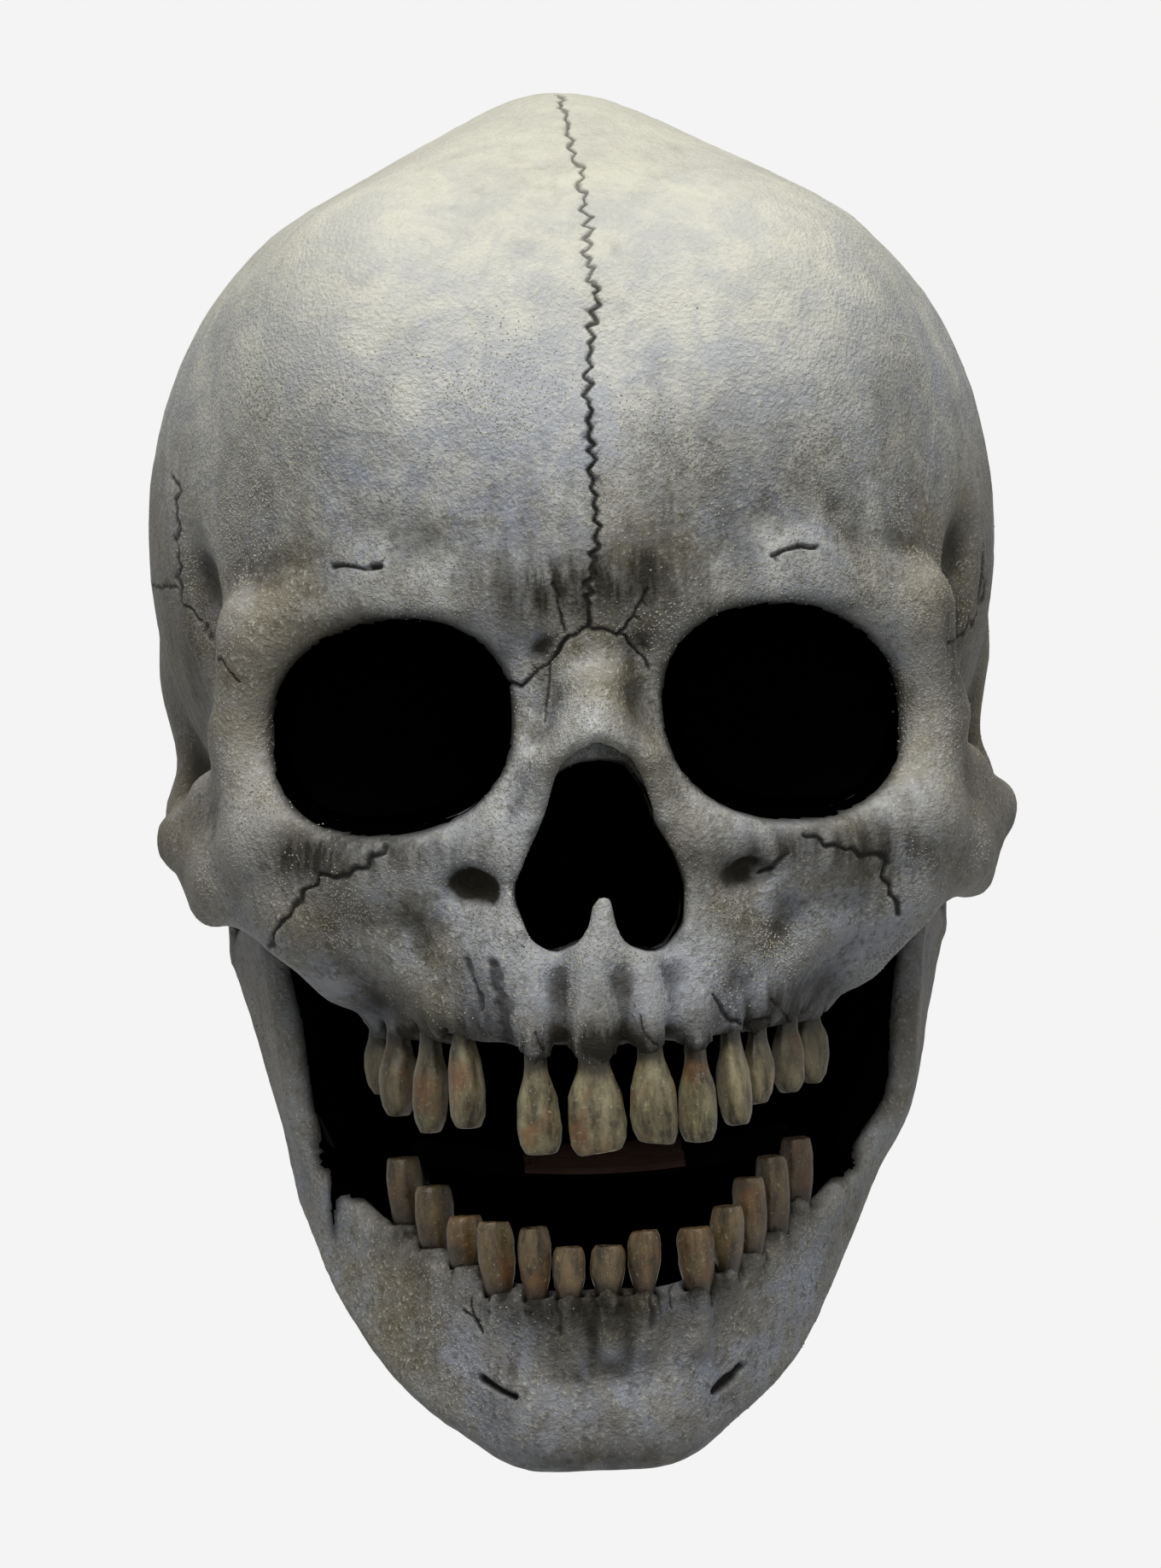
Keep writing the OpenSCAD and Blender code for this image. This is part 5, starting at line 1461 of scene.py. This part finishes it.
def foam_pad(name, cad, spine, across, half_wide):
    """A pad that follows its spine and lies across it, drawn in at its ends."""
    s = np.linspace(-1, 1, PAD_RINGS)
    along = np.gradient(spine, axis=0)
    along /= np.linalg.norm(along, axis=1, keepdims=True)
    out = np.cross(along, across)
    taper = np.clip(1 - np.abs(s) ** 5, 0, 1) ** 0.28
    thick = PAD_HALF_THICK * (0.55 + 0.45 * taper) * (taper > 0)
    angle = np.linspace(0, 2 * math.pi, PAD_ROUND, endpoint=False)
    c = np.sign(np.cos(angle)) * np.abs(np.cos(angle)) ** 0.62
    d = np.sign(np.sin(angle)) * np.abs(np.sin(angle)) ** 0.8
    rings = spine[:, None] + (half_wide * taper)[:, None, None] * c[:, None] * np.array(across, float)
    rings = rings + thick[:, None, None] * d[:, None] * out[:, None]
    ring = np.arange(PAD_ROUND)
    after = (ring + 1) % PAD_ROUND
    faces = [np.stack([k + ring, k + after, k + PAD_ROUND + after, k + PAD_ROUND + ring], 1)
             for k in np.arange(PAD_RINGS - 1) * PAD_ROUND]
    pad = mesh_of(name, rings.reshape(-1, 3), np.concatenate(faces))
    spots, way = points_of(pad), normals_of(pad)
    place(pad, spots + way * (0.35 * lumps(spots, 7, 41))[:, None])
    pad.data.materials.append(foam)
    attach(pad, "skull")
    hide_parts(cad)


# The crown's arc, the brow's flat and bend, and the temple's wall, with each pad set in from them
s = np.linspace(-1, 1, PAD_RINGS)
y = 13 + 47 * s
roof = 75 + 108.5 * np.sqrt(1 - ((y - 13) / 121.5) ** 2)
foam_pad("crown_foam", "crown_pad", np.stack([0 * s, y, roof - 9.5], 1), (1, 0, 0), 15)
x = 52 * s
brow = -108.5 + np.where(np.abs(x) < 34, 0.004 * x * x + 6.2, 0.022 * (np.abs(x) - 34) ** 2 + 10.8)
foam_pad("forehead_foam", "forehead_pad", np.stack([x, brow + 9, 95 + 0 * s], 1), (0, 0, 1), 15)
y = 16 + 43 * s
for side, turn in (("left", 1), ("right", -1)):
    wall = turn * (98.5 - 0.0028 * (y - 16) ** 2 - 7.5)
    foam_pad(f"{side}_temple_foam", f"{side}_temple_pad", np.stack([wall, y, 80 + 0 * s], 1), (0, 0, 1), 19)

# Neck cowl: matt black stretch cloth glued inside the rim from ear to ear round the nape. It hangs in
# soft folds, hides the wearer's neck behind the open jaw, and is drawn in at the bottom to tuck in a collar.
# Its black, seen through the open mouth, is also painted shade for the inside of the mask
COWL_MIDDLE, COWL_FRONT = 40, 17.5
COWL_INSET = 4.9
COWL_COLUMNS = 161
COWL_THICK = 1.0
FOLD_DEPTH = 2.6
# Rows of the cloth, as height and share of the rim's outline: the first two are measured from the rim
COWL_ROWS = [
    (7, 1.0), (-1, 1.0), (-22, 1.08), (-45, 1.08), (-62, 1.0), (-80, 0.88), (-97, 0.75), (-114, 0.62)]
turn = np.radians(np.linspace(-135, 135, 271))
reach = np.zeros(len(turn))
for far in np.arange(140.0, 20.0, -0.5):
    y = COWL_MIDDLE + far * np.cos(turn)
    p = np.stack([np.abs(far * np.sin(turn)), y, rim_height(y)], 1)
    reach = np.where((reach == 0) & (case_gap(p) < -COWL_INSET), far, reach)
outline = np.stack([reach * np.sin(turn), COWL_MIDDLE + reach * np.cos(turn)], 1)
rows = []
for k, (z, scale) in enumerate(COWL_ROWS):
    ring = outline * scale
    ring = ring[ring[:, 1] >= COWL_FRONT]
    step = np.concatenate([[0], np.cumsum(np.linalg.norm(np.diff(ring, axis=0), axis=1))])
    even = np.linspace(0, step[-1], COWL_COLUMNS)
    x, y = np.interp(even, step, ring[:, 0]), np.interp(even, step, ring[:, 1])
    height = rim_height(y) + z if k < 2 else np.full(COWL_COLUMNS, float(z))
    wider = 1 + (0.085 * (k == 2) + 0.02 * (k == 3)) * (1 - ease(y, 18, 50))
    rows.append(np.concatenate([x * wider, y, height]))
grid = smooth_run(rows, 7).reshape(-1, 3, COWL_COLUMNS).transpose(0, 2, 1)
fall = np.linspace(0, 1, len(grid))[:, None]
round_nape = np.linspace(-1, 1, COWL_COLUMNS) * math.pi
fold = np.cos(9.5 * round_nape + 0.9 * np.sin(fall * 3)) + 0.5 * np.cos(5 * round_nape + 1.3)
back = np.concatenate([grid[..., :1], grid[..., 1:2] - 20, 0 * grid[..., :1]], -1)
back /= np.linalg.norm(back, axis=-1, keepdims=True)
grid = grid + back * (FOLD_DEPTH * ease(fall, 0.12, 0.6) * fold)[..., None]
cowl = slab("neck_cowl_cloth", grid, COWL_THICK)
# Stretch cloth: knitted so fine and matt that only its folds show, as a deep black
cowl.data.materials.append(
    woven("matt_black_stretch_cloth_and_shade", "#010101", "#070708", pitch=0.7, axes="XZ", rib=0.12))
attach(cowl, "skull")
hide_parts("neck_cowl")
